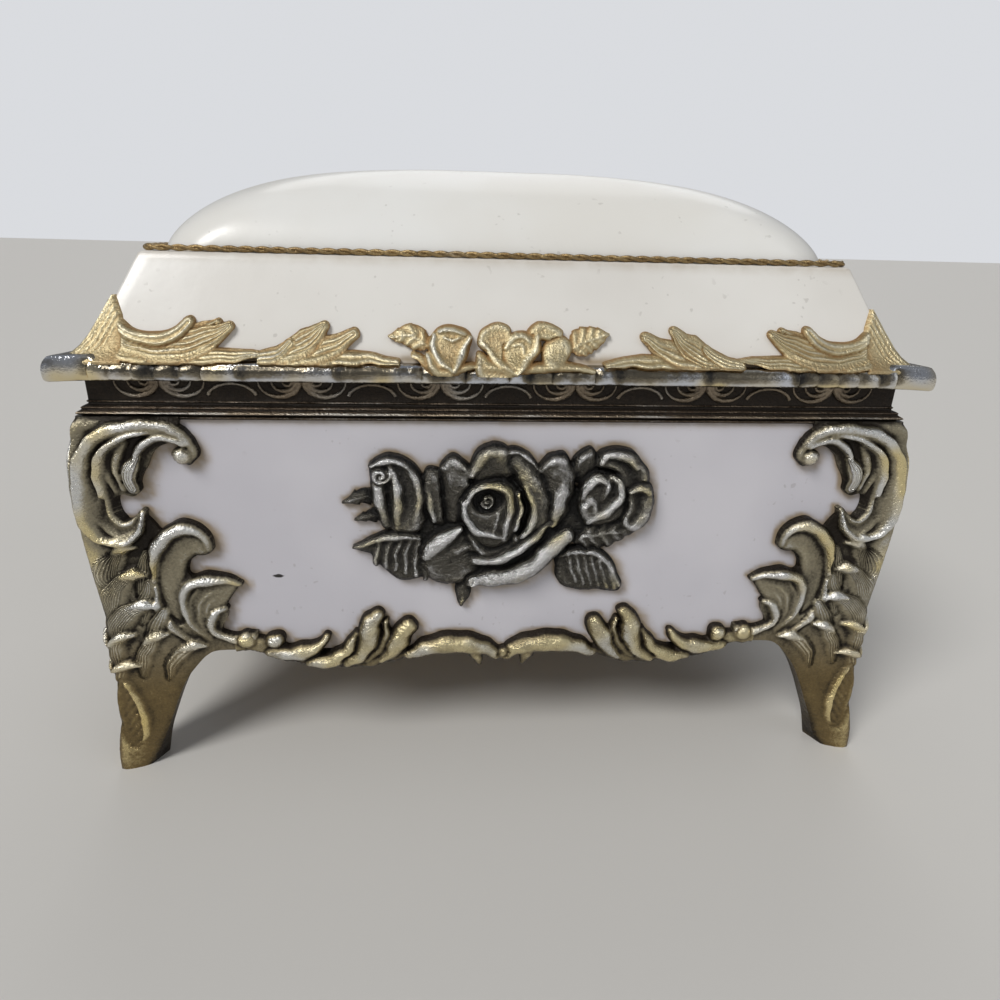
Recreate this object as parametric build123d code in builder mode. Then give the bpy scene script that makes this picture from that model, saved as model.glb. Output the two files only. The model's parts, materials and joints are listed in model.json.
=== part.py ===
"""Footed musical jewelry box: four cast walls on cabriole legs, a hinged domed lid,
a velvet-lined compartment and a wind-up musical movement under its floor.
Millimetres, +Z up, front towards -Y, origin on the table under the box's middle."""
import os
from math import acos, atan2, cos, degrees, hypot, pi, radians, sin, tan

from build123d import *

# Plan of the box: half width and half depth at the tip of the base moulding
moulding_x = 58.1
moulding_y = 40.3
face_set_in = 0.9
wall_thickness = 1.8
mitre_gap = 0.02

# Heights above the table
foot_flare_height = 14.0
apron_height = 19.0
moulding_height = 2.0
frieze_height = 3.5
rim_height = 61.9
rim_thickness = 2.6
lid_slope_height = 13.55
dome_rise = 12.8

# Relief of the cast corners beyond the wall face, at the foot, ankle, bulge and shoulder
foot_relief = 3.4
ankle_relief = 1.7
bulge_relief = 2.7
shoulder_relief = 1.1
ankle_height = 17.0
bulge_height = 46.0
foot_thickness = 4.4

# Legs, measured along a wall inwards from the moulding's corner
foot_inner = 1.7
leg_inner_knee = 14.2
knee_height = 20.3

# Base moulding, frieze and lid
frieze_set_in = 1.2
lid_tip_reach = 1.9
rim_reach = 0.6
tip_length = 9.0
lid_slope_base_in = 1.4
lid_slope_top_in = 8.3
lid_wall = 1.5
lid_top_plate = 1.3
post_height = 10.0
post_thickness = 2.6
leaf_relief = 1.0
rope_radius = 0.45
rope_corner = 1.6
dome_wall = 1.0
dome_gap = 0.1
dome_corner = 8.0
dome_fullness = 3.5
dome_shoulder = 1.3
dome_levels = (0.0, 0.22, 0.45, 0.66, 0.83, 0.94, 1.0)

# Rose spray on the front wall
rose_centres = ((-18.0, 47.3, 4.6), (-2.5, 44.6, 8.2), (15.0, 46.6, 6.4))
spray_relief = 2.4
stud_radius = 0.8

# Hinges
hinge_offset = 30.0
hinge_length = 14.0
knuckle_radius = 1.1
knuckle_gap = 0.15
pin_radius = 0.5
pin_clearance = 0.05
leaf_plate = 0.5
lid_leaf_plate = 0.4
hinge_rise = 1.2

# Bottom plate, its lugs and screws
plate_height = 24.0
plate_thickness = 1.2
plate_gap = 0.3
lug_size = 5.0
lug_height = 4.0
screw_radius = 0.9
screw_head_radius = 1.8
screw_head_height = 1.0
screw_clearance = 0.05
screw_length = 4.0

# Velvet compartment over the movement, and the pad in the lid
ledge_height = 1.2
ledge_depth = 1.0
tray_clearance = 2.1
tray_wall = 0.9
tray_gap = 0.2
tray_top_gap = 0.3
velvet_thickness = 0.8
pad_thickness = 1.8
pad_gap = 1.1
pad_side_gap = 0.2

# Musical movement
bedplate_left = -27.5
bedplate_right = 31.0
bedplate_front = -26.0
bedplate_back = 20.5
bedplate_thickness = 1.8
barrel_x = -14.0
drum_radius = 9.2
drum_wall = 0.6
drum_height = 8.6
barrel_lift = 0.8
arbor_radius = 1.5
bearing_clearance = 0.05
crown_teeth = 36
pinion_teeth = 12
crown_module = 0.6
crown_face = 1.2
crown_backlash = 0.25
flange_thickness = 1.6
spring_strip = 0.35
spring_pitch = 0.95
spring_half_turns = 12
spring_inner = 2.3
bridge_thickness = 1.2
bridge_width = 7.0
pillar_radius = 1.8
pillar_offset = 15.2
cylinder_rise = 9.0
cylinder_radius = 6.3
cylinder_length = 22.0
cylinder_wall = 0.6
cylinder_arbor_radius = 0.8
bracket_thickness = 1.0
bracket_foot = 4.0
bracket_cap = 2.6
bracket_base = 0.8
governor_cap = 2.4
arm_thickness = 1.0
arm_width = 4.0
arm_overhang = 1.6
post_depth = 1.2
running_gap = 0.4
comb_teeth = 18
comb_pitch = 1.16
comb_slot = 0.32
comb_thickness = 0.9
comb_tip_gap = 0.45
comb_shortest = 7.5
comb_longest = 11.5
comb_base = 7.0
wheel_teeth = 30
governor_pinion_teeth = 10
wheel_module = 0.4
wheel_backlash = 0.2
wheel_face = 1.2
governor_drop = 2.0
worm_wheel_teeth = 16
worm_starts = 2
worm_module = 0.5
worm_radius = 1.6
worm_tooth_gap = 0.6
worm_wheel_face = 1.0
worm_wheel_addendum = 0.7
governor_arbor_radius = 0.6
fan_arbor_radius = 0.5
fan_radius = 3.4
fan_blade = 0.4
fan_height = 3.0
fan_boss_radius = 1.4
fan_lift = 4.4
worm_length = 7.2

# Winding key and lid-worked stop wire
key_hub_radius = 2.6
key_width = 16.0
key_blade = 1.6
key_blade_height = 9.0
key_drop = 15.5
wire_radius = 0.7
wire_clearance = 0.1
wire_x = 51.0
wire_arm_below = 1.0
wire_stand_off = 0.45
guide_length = 8.0

# Everything that follows from those sizes
face_x = moulding_x - face_set_in
face_y = moulding_y - face_set_in
inner_x = face_x - wall_thickness
inner_y = face_y - wall_thickness
moulding_base = rim_height - frieze_height - moulding_height
rim_top = rim_height + rim_thickness
lid_top_height = rim_top + lid_slope_height
bedplate_top = plate_height + plate_thickness + bedplate_thickness
cylinder_height = bedplate_top + cylinder_rise
tray_height = cylinder_height + cylinder_radius + tray_clearance
crown_radius = crown_module * crown_teeth / 2
pinion_radius = crown_module * pinion_teeth / 2
crown_plane = cylinder_height - pinion_radius
wheel_radius = wheel_module * wheel_teeth / 2
governor_pinion_radius = wheel_module * governor_pinion_teeth / 2
governor_height = cylinder_height - governor_drop
train_distance = wheel_radius + governor_pinion_radius + 0.5 * wheel_backlash
governor_y = (train_distance**2 - governor_drop**2) ** 0.5
worm_wheel_radius = worm_module * worm_wheel_teeth / 2
worm_y = governor_y + worm_wheel_radius + worm_radius
left_bracket_x = barrel_x + crown_radius + crown_face / 2 + 3 * running_gap
cylinder_x = left_bracket_x + bracket_thickness + running_gap
wheel_x = cylinder_x + cylinder_length + 0.3
right_bracket_x = wheel_x + wheel_face + running_gap
worm_wheel_x = right_bracket_x + bracket_thickness + 1.0
outer_cheek_x = worm_wheel_x + 1.0 + 1.0
worm_x = worm_wheel_x + 0.5
fan_base = governor_height + fan_lift
fan_top = fan_base + fan_height
arm_height = fan_top + 0.5
hinge_y = moulding_y - frieze_set_in + knuckle_radius
hinge_z = rim_height - hinge_rise
pad_height = rim_height + pad_gap

os.makedirs("parts", exist_ok=True)


def save(node, name):
    """Label a finished piece and write it under its own name."""
    node.label = name
    export_step(node, f"parts/{name}.step")


def wall_plane(side):
    """Plane of one wall: x along it, y up, normal outwards."""
    directions = {
        "front": ((1, 0, 0), (0, -1, 0)),
        "back": ((-1, 0, 0), (0, 1, 0)),
        "right": ((0, 1, 0), (1, 0, 0)),
        "left": ((0, -1, 0), (-1, 0, 0)),
    }
    along, outward = directions[side]
    return Plane(origin=(0, 0, 0), x_dir=along, z_dir=outward)


# Cast walls
def leg_outline(half, hand):
    """Half a leg with the silhouette of the corner scrolls above it, on one wall."""
    def at(inwards, height):
        return (hand * (half - inwards), height)

    with BuildSketch() as outline:
        with BuildLine():
            outer = -2 * foot_relief
            Polyline(at(3.6, moulding_base), at(outer, moulding_base), at(outer, 0), at(foot_inner, 0))
            ThreePointArc(at(foot_inner, 0), at(6.6, 10.4), at(12.0, knee_height - 1))
            ThreePointArc(at(12.0, knee_height - 1), at(15.0, knee_height + 0.4), at(17.6, knee_height + 3.4))
            ThreePointArc(at(17.6, knee_height + 3.4), at(15.2, 28.0), at(19.0, 31.4))
            ThreePointArc(at(19.0, 31.4), at(17.4, 33.8), at(14.0, 32.6))
            ThreePointArc(at(14.0, 32.6), at(12.4, 34.6), at(13.2, 37.2))
            ThreePointArc(at(13.2, 37.2), at(15.6, 37.4), at(15.2, 40.0))
            ThreePointArc(at(15.2, 40.0), at(10.8, 42.6), at(6.4, 40.8))
            ThreePointArc(at(6.4, 40.8), at(4.6, 43.0), at(6.6, 46.0))
            ThreePointArc(at(6.6, 46.0), at(7.8, 50.0), at(12.6, 51.6))
            ThreePointArc(at(12.6, 51.6), at(13.8, 49.7), at(15.0, 51.4))
            ThreePointArc(at(15.0, 51.4), at(11.6, 55.6), at(3.6, moulding_base))
        make_face()
    return outline.sketch


def apron_outline(half):
    """Scalloped rail along a wall's lower edge, with its central pair of scrolls."""
    reach = half - leg_inner_knee
    base = apron_height
    with BuildSketch() as outline:
        with BuildLine():
            for hand in (-1, 1):
                first = (hand * reach, knee_height)
                second = (hand * reach * 0.72, base)
                third = (hand * reach * 0.36, base)
                centre = (hand * 0.6, base - 2.2)
                ThreePointArc(first, (hand * reach * 0.86, base - 0.3), second)
                ThreePointArc(second, (hand * reach * 0.52, base - 2.4), third)
                ThreePointArc(third, (hand * reach * 0.18, base - 0.2), centre)
                crest_first = (hand * reach, knee_height + 3)
                crest_second = (hand * reach * 0.7, base + 3.2)
                crest_third = (hand * reach * 0.34, base + 3.0)
                ThreePointArc(crest_first, (hand * reach * 0.86, base + 3.4), crest_second)
                ThreePointArc(crest_second, (hand * reach * 0.5, base + 3.8), crest_third)
                ThreePointArc(crest_third, (hand * reach * 0.18, base + 3.4), (hand * 0.6, base + 1.0))
                Line(first, crest_first)
            Line((-0.6, base - 2.2), (0.6, base - 2.2))
            Line((-0.6, base + 1.0), (0.6, base + 1.0))
        make_face()
        for hand in (-1, 1):
            with Locations((hand * reach * 0.43, base + 4.2)):
                Ellipse(3.2, 4.4, rotation=-hand * 20)
            for place, size in ((0.93, 1.5), (0.84, 1.2), (0.62, 1.3)):
                with Locations((hand * reach * place, base + 3.4)):
                    Circle(size)
    return outline.sketch


def wall_envelope(half, plane):
    """Outer form of the cast corners: a section that swells and flares, run along the wall."""
    def out(relief):
        return face_half(half) + relief

    section_plane = Plane(origin=plane.origin, x_dir=plane.z_dir, z_dir=plane.x_dir.reverse())
    with BuildPart() as envelope:
        with BuildSketch(section_plane):
            with BuildLine():
                Line((out(foot_relief), 0), (out(foot_relief), 1.5))
                Spline(
                    (out(foot_relief), 1.5),
                    (out(ankle_relief + 0.6), foot_flare_height * 0.6),
                    (out(ankle_relief), ankle_height),
                    (out(bulge_relief), bulge_height),
                    (out(shoulder_relief), moulding_base),
                )
                Line((out(shoulder_relief), moulding_base), (out(-wall_thickness), moulding_base))
                Line((out(-wall_thickness), moulding_base), (out(-wall_thickness), ankle_height))
                Line((out(-wall_thickness), ankle_height), (out(foot_relief - foot_thickness), 0))
                Line((out(foot_relief - foot_thickness), 0), (out(foot_relief), 0))
            make_face()
        extrude(amount=half + 2 * foot_relief, both=True)
    return envelope.part


def face_half(half):
    """Distance of the other pair of walls' plates, for a wall whose own half length is given."""
    return face_y if half == moulding_x else face_x


def cast_wall(side):
    """One mitred wall with its moulding, frieze, half legs, apron and inner ledge."""
    half = moulding_x if side in ("front", "back") else moulding_y
    plane = wall_plane(side)
    face = face_half(half)
    tip = face + face_set_in
    section_plane = Plane(origin=plane.origin, x_dir=plane.z_dir, z_dir=plane.x_dir.reverse())
    with BuildPart() as legs:
        with BuildSketch(plane.offset(face - wall_thickness)):
            add(leg_outline(half, -1))
            add(leg_outline(half, 1))
        extrude(amount=wall_thickness + 2 * foot_relief)
        add(wall_envelope(half, plane), mode=Mode.INTERSECT)
    with BuildPart() as wall:
        with BuildSketch(section_plane):
            with BuildLine():
                Polyline(
                    (face - wall_thickness, plate_height - 4.4),
                    (face, plate_height - 4.4),
                    (face, moulding_base),
                    (tip, moulding_base + moulding_height / 2),
                    (tip - frieze_set_in, moulding_base + moulding_height),
                    (tip - frieze_set_in, rim_height),
                    (face - wall_thickness, rim_height),
                    (face - wall_thickness, tray_height),
                    (face - wall_thickness - ledge_depth, tray_height),
                    (face - wall_thickness, tray_height - ledge_height - ledge_depth),
                    close=True,
                )
            make_face()
        extrude(amount=half + 2 * foot_relief, both=True)
        with BuildSketch(plane.offset(face)):
            add(apron_outline(half))
        extrude(amount=1.3)
        with BuildSketch(plane.offset(face)):
            add(apron_outline(half))
        extrude(amount=-wall_thickness)
        add(legs.part)
        inner = face - wall_thickness
        for hand in (-1, 1):
            mitre = Plane(
                origin=plane.z_dir * tip + plane.x_dir * (hand * (half - mitre_gap)),
                z_dir=plane.x_dir * hand - plane.z_dir,
            )
            split(bisect_by=mitre, keep=Keep.BOTTOM)
        if side in ("left", "right"):
            lug_top = plate_height + plate_thickness + lug_height
            for hand in (-1, 1):
                with BuildSketch(plane.offset(inner - lug_size)):
                    with Locations((hand * (inner_y - lug_size), lug_top - lug_height / 2)):
                        Rectangle(lug_size, lug_height)
                extrude(amount=lug_size)
                with BuildSketch(Plane.XY.offset(plate_height + plate_thickness)):
                    spot = plane.z_dir * (inner - lug_size / 2) + plane.x_dir * (hand * (inner_y - lug_size))
                    with Locations((spot.X, spot.Y)):
                        Circle(screw_radius + screw_clearance)
                extrude(amount=lug_height - 0.6, mode=Mode.SUBTRACT)
        if side == "front":
            with BuildSketch(plane.offset(face - wall_thickness)):
                with Locations(*[(x, z) for x, z, _ in (rose_centres[0], rose_centres[2])]):
                    Circle(stud_radius + screw_clearance)
            extrude(amount=wall_thickness, mode=Mode.SUBTRACT)
    return wall.part


for side, name in (
    ("front", "front_wall"),
    ("back", "back_wall"),
    ("left", "left_end_wall"),
    ("right", "right_end_wall"),
):
    save(cast_wall(side), name)


# Rose spray, a separate casting with two studs through the front wall
def rose_layers(x, z, size):
    """Petal rings of one rose as (number of petals, ring radius, petal radius, rise)."""
    return (
        (6, size * 0.62, size * 0.42, spray_relief * 0.55),
        (5, size * 0.36, size * 0.34, spray_relief * 0.8),
        (3, size * 0.16, size * 0.24, spray_relief),
    )


def leaf(base, tip, width):
    """Pointed leaf outline between two points."""
    length = hypot(tip[0] - base[0], tip[1] - base[1])
    middle = ((base[0] + tip[0]) / 2, (base[1] + tip[1]) / 2)
    across = (-(tip[1] - base[1]) / length * width / 2, (tip[0] - base[0]) / length * width / 2)
    with BuildSketch() as outline:
        with BuildLine():
            ThreePointArc(base, (middle[0] + across[0], middle[1] + across[1]), tip)
            ThreePointArc(tip, (middle[0] - across[0], middle[1] - across[1]), base)
        make_face()
    return outline.sketch


spray_leaves = (
    ((-15.5, 43.8), (-23.8, 44.4), 2.6),
    ((-14.0, 42.6), (-21.6, 40.0), 3.0),
    ((-8.0, 38.0), (-20.6, 34.8), 5.4),
    ((-4.0, 34.0), (-7.0, 27.4), 3.6),
    ((8.5, 36.5), (18.0, 31.0), 6.4),
    ((10.0, 40.5), (21.0, 39.5), 4.4),
)
with BuildPart() as front_rose_spray:
    with BuildSketch(wall_plane("front").offset(face_y)):
        for leaf_base, leaf_tip, leaf_width in spray_leaves:
            add(leaf(leaf_base, leaf_tip, leaf_width))
        with Locations((2.0, 38.5)):
            Ellipse(11.5, 6.5, rotation=12)
        with Locations((-11.5, 43.0)):
            Circle(4.2)
    extrude(amount=spray_relief * 0.4)
    for rose_x, rose_z, rose_size in rose_centres:
        for petals, ring, petal, rise in rose_layers(rose_x, rose_z, rose_size):
            with BuildSketch(wall_plane("front").offset(face_y)):
                with Locations((rose_x, rose_z)):
                    Circle(ring)
                    with PolarLocations(ring, petals):
                        Circle(petal)
            extrude(amount=rise)
    with BuildSketch(wall_plane("front").offset(face_y - wall_thickness)):
        with Locations(*[(x, z) for x, z, _ in (rose_centres[0], rose_centres[2])]):
            Circle(stud_radius)
    extrude(amount=wall_thickness + spray_relief * 0.3)
save(front_rose_spray.part, "front_rose_spray")


# Lid
def lid_half(height, at_y=False):
    """Half size of the lid's sloping faces at a height."""
    share = (height - rim_top) / (lid_top_height - rim_top)
    set_in = lid_slope_base_in + share * (lid_slope_top_in - lid_slope_base_in)
    depth_set_in = lid_slope_base_in + share * (0.87 * lid_slope_top_in - lid_slope_base_in)
    return moulding_y - depth_set_in if at_y else moulding_x - set_in


def lid_block(low, high, inset):
    """Tapering block between two heights of the lid, inset from its outer faces."""
    with BuildPart() as block:
        for height in (low, high):
            with BuildSketch(Plane.XY.offset(height)):
                Rectangle(2 * (lid_half(height) - inset), 2 * (lid_half(height, True) - inset))
        loft(ruled=True)
    return block.part


rim_x = moulding_x + rim_reach
rim_y = moulding_y + rim_reach
tip_x = moulding_x + lid_tip_reach
tip_y = moulding_y + lid_tip_reach
with BuildPart() as lid_shell:
    with BuildSketch(Plane.XY.offset(rim_height)):
        with BuildLine():
            for hand in (-1, 1):
                Line((-rim_x + tip_length, hand * rim_y), (rim_x - tip_length, hand * rim_y))
                Line((hand * rim_x, -rim_y + tip_length), (hand * rim_x, rim_y - tip_length))
                for end in (-1, 1):
                    tip_end = (end * tip_x, hand * tip_y)
                    ThreePointArc(
                        (end * (rim_x - tip_length), hand * rim_y),
                        (end * (rim_x - tip_length * 0.36), hand * (rim_y + lid_tip_reach * 0.14)),
                        tip_end,
                    )
                    ThreePointArc(
                        tip_end,
                        (end * (rim_x + lid_tip_reach * 0.14), hand * (rim_y - tip_length * 0.36)),
                        (end * rim_x, hand * (rim_y - tip_length)),
                    )
        make_face()
    extrude(amount=rim_thickness)
    add(lid_block(rim_top, lid_top_height, 0))
    with BuildSketch(Plane.XY.offset(rim_height)):
        Rectangle(2 * (lid_half(rim_top) - lid_wall), 2 * (lid_half(rim_top, True) - lid_wall))
    extrude(amount=rim_thickness, mode=Mode.SUBTRACT)
    add(lid_block(rim_top, lid_top_height - lid_top_plate, lid_wall), mode=Mode.SUBTRACT)
    dome_x = lid_half(lid_top_height) - 2 * rope_radius - dome_gap
    dome_y = lid_half(lid_top_height, True) - 2 * rope_radius - dome_gap
    with BuildSketch(Plane.XY.offset(lid_top_height)):
        RectangleRounded(2 * (dome_x - 2.5), 2 * (dome_y - 2.5), dome_corner - 2.5)
    extrude(amount=-lid_top_plate, mode=Mode.SUBTRACT)
    # Corner posts: a concave flare from a spike down to the rim's tip
    for end in (-1, 1):
        for hand in (-1, 1):
            reach_x = tip_x - lid_half(lid_top_height)
            reach_y = tip_y - lid_half(lid_top_height, True)
            outward = Vector(end * reach_x, hand * reach_y).normalized()
            foot = Vector(end * tip_x, hand * tip_y, rim_top)
            post_plane = Plane(origin=foot, x_dir=outward, z_dir=outward.cross(Vector(0, 0, 1)))
            with BuildSketch(post_plane):
                with BuildLine():
                    Line((-0.4, -0.8), (-0.4, 0))
                    ThreePointArc((-0.4, 0), (-6.4, post_height * 0.34), (-8.6, post_height * 0.8))
                    Line((-8.6, post_height * 0.8), (-10.4, post_height))
                    Line((-10.4, post_height), (-11.0, post_height * 0.7))
                    Line((-11.0, post_height * 0.7), (-5.4, -0.8))
                    Line((-5.4, -0.8), (-0.4, -0.8))
                make_face()
            extrude(amount=post_thickness / 2, both=True)
    add(lid_block(rim_top, lid_top_height - lid_top_plate, lid_wall), mode=Mode.SUBTRACT)
    # Cast leaves and rosebuds standing on the four sloping faces
    for side in ("front", "back", "left", "right"):
        long_side = side in ("front", "back")
        low = lid_half(rim_top, long_side)
        high = lid_half(lid_top_height, long_side)
        wall = wall_plane(side)
        up = (wall.z_dir * (high - low) + Vector(0, 0, lid_top_height - rim_top)).normalized()
        foot = wall.z_dir * low + Vector(0, 0, rim_top)
        slope = Plane(origin=foot, x_dir=wall.x_dir, z_dir=wall.x_dir.cross(up))
        reach = moulding_x if long_side else moulding_y
        with BuildSketch(slope.offset(-0.3)):
            for hand in (-1, 1):
                add(leaf((hand * (reach - 6.2), -0.2), (hand * (reach - 6.8), 6.6), 5.0))
                add(leaf((hand * (reach - 4.0), 0.4), (hand * (reach - 16.6), 5.2), 4.2))
                add(leaf((hand * (reach - 6.0), 0.2), (hand * (reach - 24.0), 1.4), 4.6))
                if long_side:
                    add(leaf((hand * 33.0, 0.0), (hand * 22.0, 4.6), 4.0))
                    add(leaf((hand * 25.0, 0.0), (hand * 14.0, 1.6), 4.0))
            for bud_x, bud_size in ((-7.5, 3.4), (1.2, 4.0)) if long_side else ((0.0, 3.6),):
                with Locations((bud_x, 1.8)):
                    Circle(bud_size)
            add(leaf((4.0, 1.2), (13.4, 4.4), 3.6))
            add(leaf((-9.0, 1.2), (-16.0, 3.8), 3.2))
        extrude(amount=leaf_relief + 0.3)
save(lid_shell.part, "lid_shell")

rope_x = lid_half(lid_top_height) - rope_radius
rope_y = lid_half(lid_top_height, True) - rope_radius
rope_z = lid_top_height + rope_radius
with BuildPart() as rope_edge:
    with BuildLine() as rope_path:
        FilletPolyline(
            (rope_x, -rope_y, rope_z),
            (rope_x, rope_y, rope_z),
            (-rope_x, rope_y, rope_z),
            (-rope_x, -rope_y, rope_z),
            radius=rope_corner,
            close=True,
        )
    with BuildSketch(Plane(origin=rope_path.line @ 0, z_dir=rope_path.line % 0)):
        Circle(rope_radius)
    sweep(path=rope_path.line)
save(rope_edge.part, "rope_edge")


def dome_block(half_x, half_y, rise, base):
    """Full pillow shape on a rounded rectangle, closed by a small flat at the crown."""
    with BuildPart() as block:
        for level in dome_levels:
            share = max(1 - level**dome_shoulder, 0.02) ** (1 / dome_fullness)
            with BuildSketch(Plane.XY.offset(base + rise * level)):
                width, depth = 2 * half_x * share, 2 * half_y * share
                RectangleRounded(width, depth, min(dome_corner + (1 - share) * depth * 0.4, depth * 0.46))
        loft()
    return block.part


with BuildPart() as lid_dome:
    add(dome_block(dome_x, dome_y, dome_rise, lid_top_height))
    add(
        dome_block(dome_x - dome_wall, dome_y - dome_wall, dome_rise - dome_wall, lid_top_height),
        mode=Mode.SUBTRACT,
    )
save(lid_dome.part, "lid_dome")

pad_top_half_x = lid_half(rim_top) - lid_wall
pad_top_half_y = lid_half(rim_top, True) - lid_wall
with BuildPart() as lid_velvet_pad:
    with BuildSketch(Plane.XY.offset(pad_height)):
        RectangleRounded(2 * (pad_top_half_x - pad_side_gap), 2 * (pad_top_half_y - pad_side_gap), 1.5)
    extrude(amount=pad_thickness)
    chamfer(lid_velvet_pad.faces().sort_by(Axis.Z)[-1].edges(), length=0.5)
save(lid_velvet_pad.part, "lid_velvet_pad")

# Hinges: the lid's middle knuckles turn between the wall's outer pairs
third = hinge_length / 3


def knuckle(start, end):
    """Rolled knuckle with its bore, between two places along the hinge line."""
    with BuildPart() as roll:
        with BuildSketch(Plane(origin=(start, hinge_y, hinge_z), x_dir=(0, 1, 0), z_dir=(1, 0, 0))):
            Circle(knuckle_radius)
            Circle(pin_radius + pin_clearance, mode=Mode.SUBTRACT)
        extrude(amount=end - start)
    return roll.part


def bore_line(start, end):
    """The hinge line's bore as a solid, to keep it open through a leaf."""
    with BuildPart() as bore:
        with BuildSketch(Plane(origin=(start, hinge_y, hinge_z), x_dir=(0, 1, 0), z_dir=(1, 0, 0))):
            Circle(pin_radius + pin_clearance)
        extrude(amount=end - start)
    return bore.part


back_face = moulding_y - frieze_set_in
with BuildPart() as wall_hinge_leaves:
    for hand in (-1, 1):
        start = hand * hinge_offset - hinge_length / 2
        leaf_middle = (start, back_face + leaf_plate / 2, hinge_z - 0.4)
        with BuildSketch(Plane(origin=leaf_middle, x_dir=(0, 1, 0), z_dir=(1, 0, 0))):
            Rectangle(leaf_plate, 2 * hinge_rise - 0.6)
        extrude(amount=hinge_length)
        add(knuckle(start, start + third - knuckle_gap))
        add(knuckle(start + 2 * third + knuckle_gap, start + hinge_length))
        with BuildSketch(
            Plane(origin=(start + third - knuckle_gap, hinge_y, hinge_z), x_dir=(0, 1, 0), z_dir=(1, 0, 0))
        ):
            Circle(knuckle_radius + knuckle_gap)
        extrude(amount=third + 2 * knuckle_gap, mode=Mode.SUBTRACT)
    add(bore_line(-hinge_offset - hinge_length, hinge_offset + hinge_length), mode=Mode.SUBTRACT)
save(wall_hinge_leaves.part, "wall_hinge_leaves")

with BuildPart() as lid_hinge_leaves:
    for hand in (-1, 1):
        start = hand * hinge_offset - third / 2
        add(knuckle(start, start + third))
        with BuildSketch(Plane.XY.offset(hinge_z)):
            with Locations((hand * hinge_offset, rim_y + lid_leaf_plate / 2)):
                Rectangle(third, lid_leaf_plate)
        extrude(amount=rim_top - 0.6 - hinge_z)
        with BuildSketch(Plane.XY.offset(rim_height + 0.2)):
            with Locations((hand * hinge_offset, rim_y + lid_leaf_plate / 2)):
                Rectangle(hinge_length, lid_leaf_plate)
        extrude(amount=rim_thickness - 0.8)
    add(bore_line(-hinge_offset - hinge_length, hinge_offset + hinge_length), mode=Mode.SUBTRACT)
save(lid_hinge_leaves.part, "lid_hinge_leaves")

with BuildPart() as hinge_pins:
    for hand in (-1, 1):
        start = hand * hinge_offset - hinge_length / 2 - 0.4
        with BuildSketch(Plane(origin=(start, hinge_y, hinge_z), x_dir=(0, 1, 0), z_dir=(1, 0, 0))):
            Circle(pin_radius)
        extrude(amount=hinge_length + 0.8)
save(hinge_pins.part, "hinge_pins")

# Bottom plate and its screws
plate_top = plate_height + plate_thickness
lug_x = inner_x - lug_size / 2
lug_y = inner_y - lug_size
movement_screw_spots = (
    (bedplate_left + 4, bedplate_front + 4),
    (bedplate_left + 4, bedplate_back - 4),
    (bedplate_right - 4, bedplate_front + 4),
)
with BuildPart() as bottom_plate:
    with BuildSketch(Plane.XY.offset(plate_height)):
        Rectangle(2 * (inner_x - plate_gap), 2 * (inner_y - plate_gap))
        with Locations((barrel_x, 0)):
            Circle(key_hub_radius + 0.8, mode=Mode.SUBTRACT)
        with Locations(*[(x * lug_x, y * lug_y) for x in (-1, 1) for y in (-1, 1)], *movement_screw_spots):
            Circle(screw_radius + screw_clearance, mode=Mode.SUBTRACT)
    extrude(amount=plate_thickness)
save(bottom_plate.part, "bottom_plate")


def add_screw(x, y, head_top, length):
    """Round-headed slotted screw standing up from its head's upper face."""
    with BuildPart() as screw:
        with BuildSketch(Plane.XY.offset(head_top - screw_head_height)):
            with Locations((x, y)):
                Circle(screw_head_radius)
        extrude(amount=screw_head_height)
        with BuildSketch(Plane.XY.offset(head_top)):
            with Locations((x, y)):
                Circle(screw_radius)
        extrude(amount=length)
        with BuildSketch(Plane.XY.offset(head_top - screw_head_height)):
            with Locations((x, y)):
                Rectangle(2 * screw_head_radius, 0.5)
        extrude(amount=0.5, mode=Mode.SUBTRACT)
    return screw.part


with BuildPart() as plate_screws:
    for x in (-1, 1):
        for y in (-1, 1):
            add(add_screw(x * lug_x, y * lug_y, plate_height, screw_length))
save(plate_screws.part, "plate_screws")

with BuildPart() as movement_screws:
    for x, y in movement_screw_spots:
        add(add_screw(x, y, plate_height, plate_thickness + bedplate_thickness - 0.2))
save(movement_screws.part, "movement_screws")

# Card tray and its velvet
tray_x = inner_x - tray_gap
tray_y = inner_y - tray_gap
tray_top = rim_height - tray_top_gap
with BuildPart() as compartment_tray:
    with BuildSketch(Plane.XY.offset(tray_height)):
        Rectangle(2 * tray_x, 2 * tray_y)
    extrude(amount=tray_top - tray_height)
    with BuildSketch(Plane.XY.offset(tray_height + tray_wall)):
        Rectangle(2 * (tray_x - tray_wall), 2 * (tray_y - tray_wall))
    extrude(amount=tray_top - tray_height, mode=Mode.SUBTRACT)
    with BuildSketch(Plane.XY.offset(tray_height)):
        with Locations((wire_x, worm_y)):
            Circle(wire_radius + wire_clearance)
    extrude(amount=tray_wall, mode=Mode.SUBTRACT)
save(compartment_tray.part, "compartment_tray")

velvet_x = tray_x - tray_wall
velvet_y = tray_y - tray_wall
velvet_floor = tray_height + tray_wall
with BuildPart() as velvet_lining:
    with BuildSketch(Plane.XY.offset(velvet_floor)):
        Rectangle(2 * velvet_x, 2 * velvet_y)
    extrude(amount=tray_top - velvet_floor)
    with BuildSketch(Plane.XY.offset(velvet_floor + velvet_thickness)):
        RectangleRounded(2 * (velvet_x - velvet_thickness), 2 * (velvet_y - velvet_thickness), 1.5)
    extrude(amount=tray_top - velvet_floor, mode=Mode.SUBTRACT)
    with BuildSketch(Plane.XY.offset(velvet_floor)):
        with Locations((wire_x, worm_y)):
            Circle(wire_radius + wire_clearance)
    extrude(amount=velvet_thickness, mode=Mode.SUBTRACT)
save(velvet_lining.part, "velvet_lining")

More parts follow.
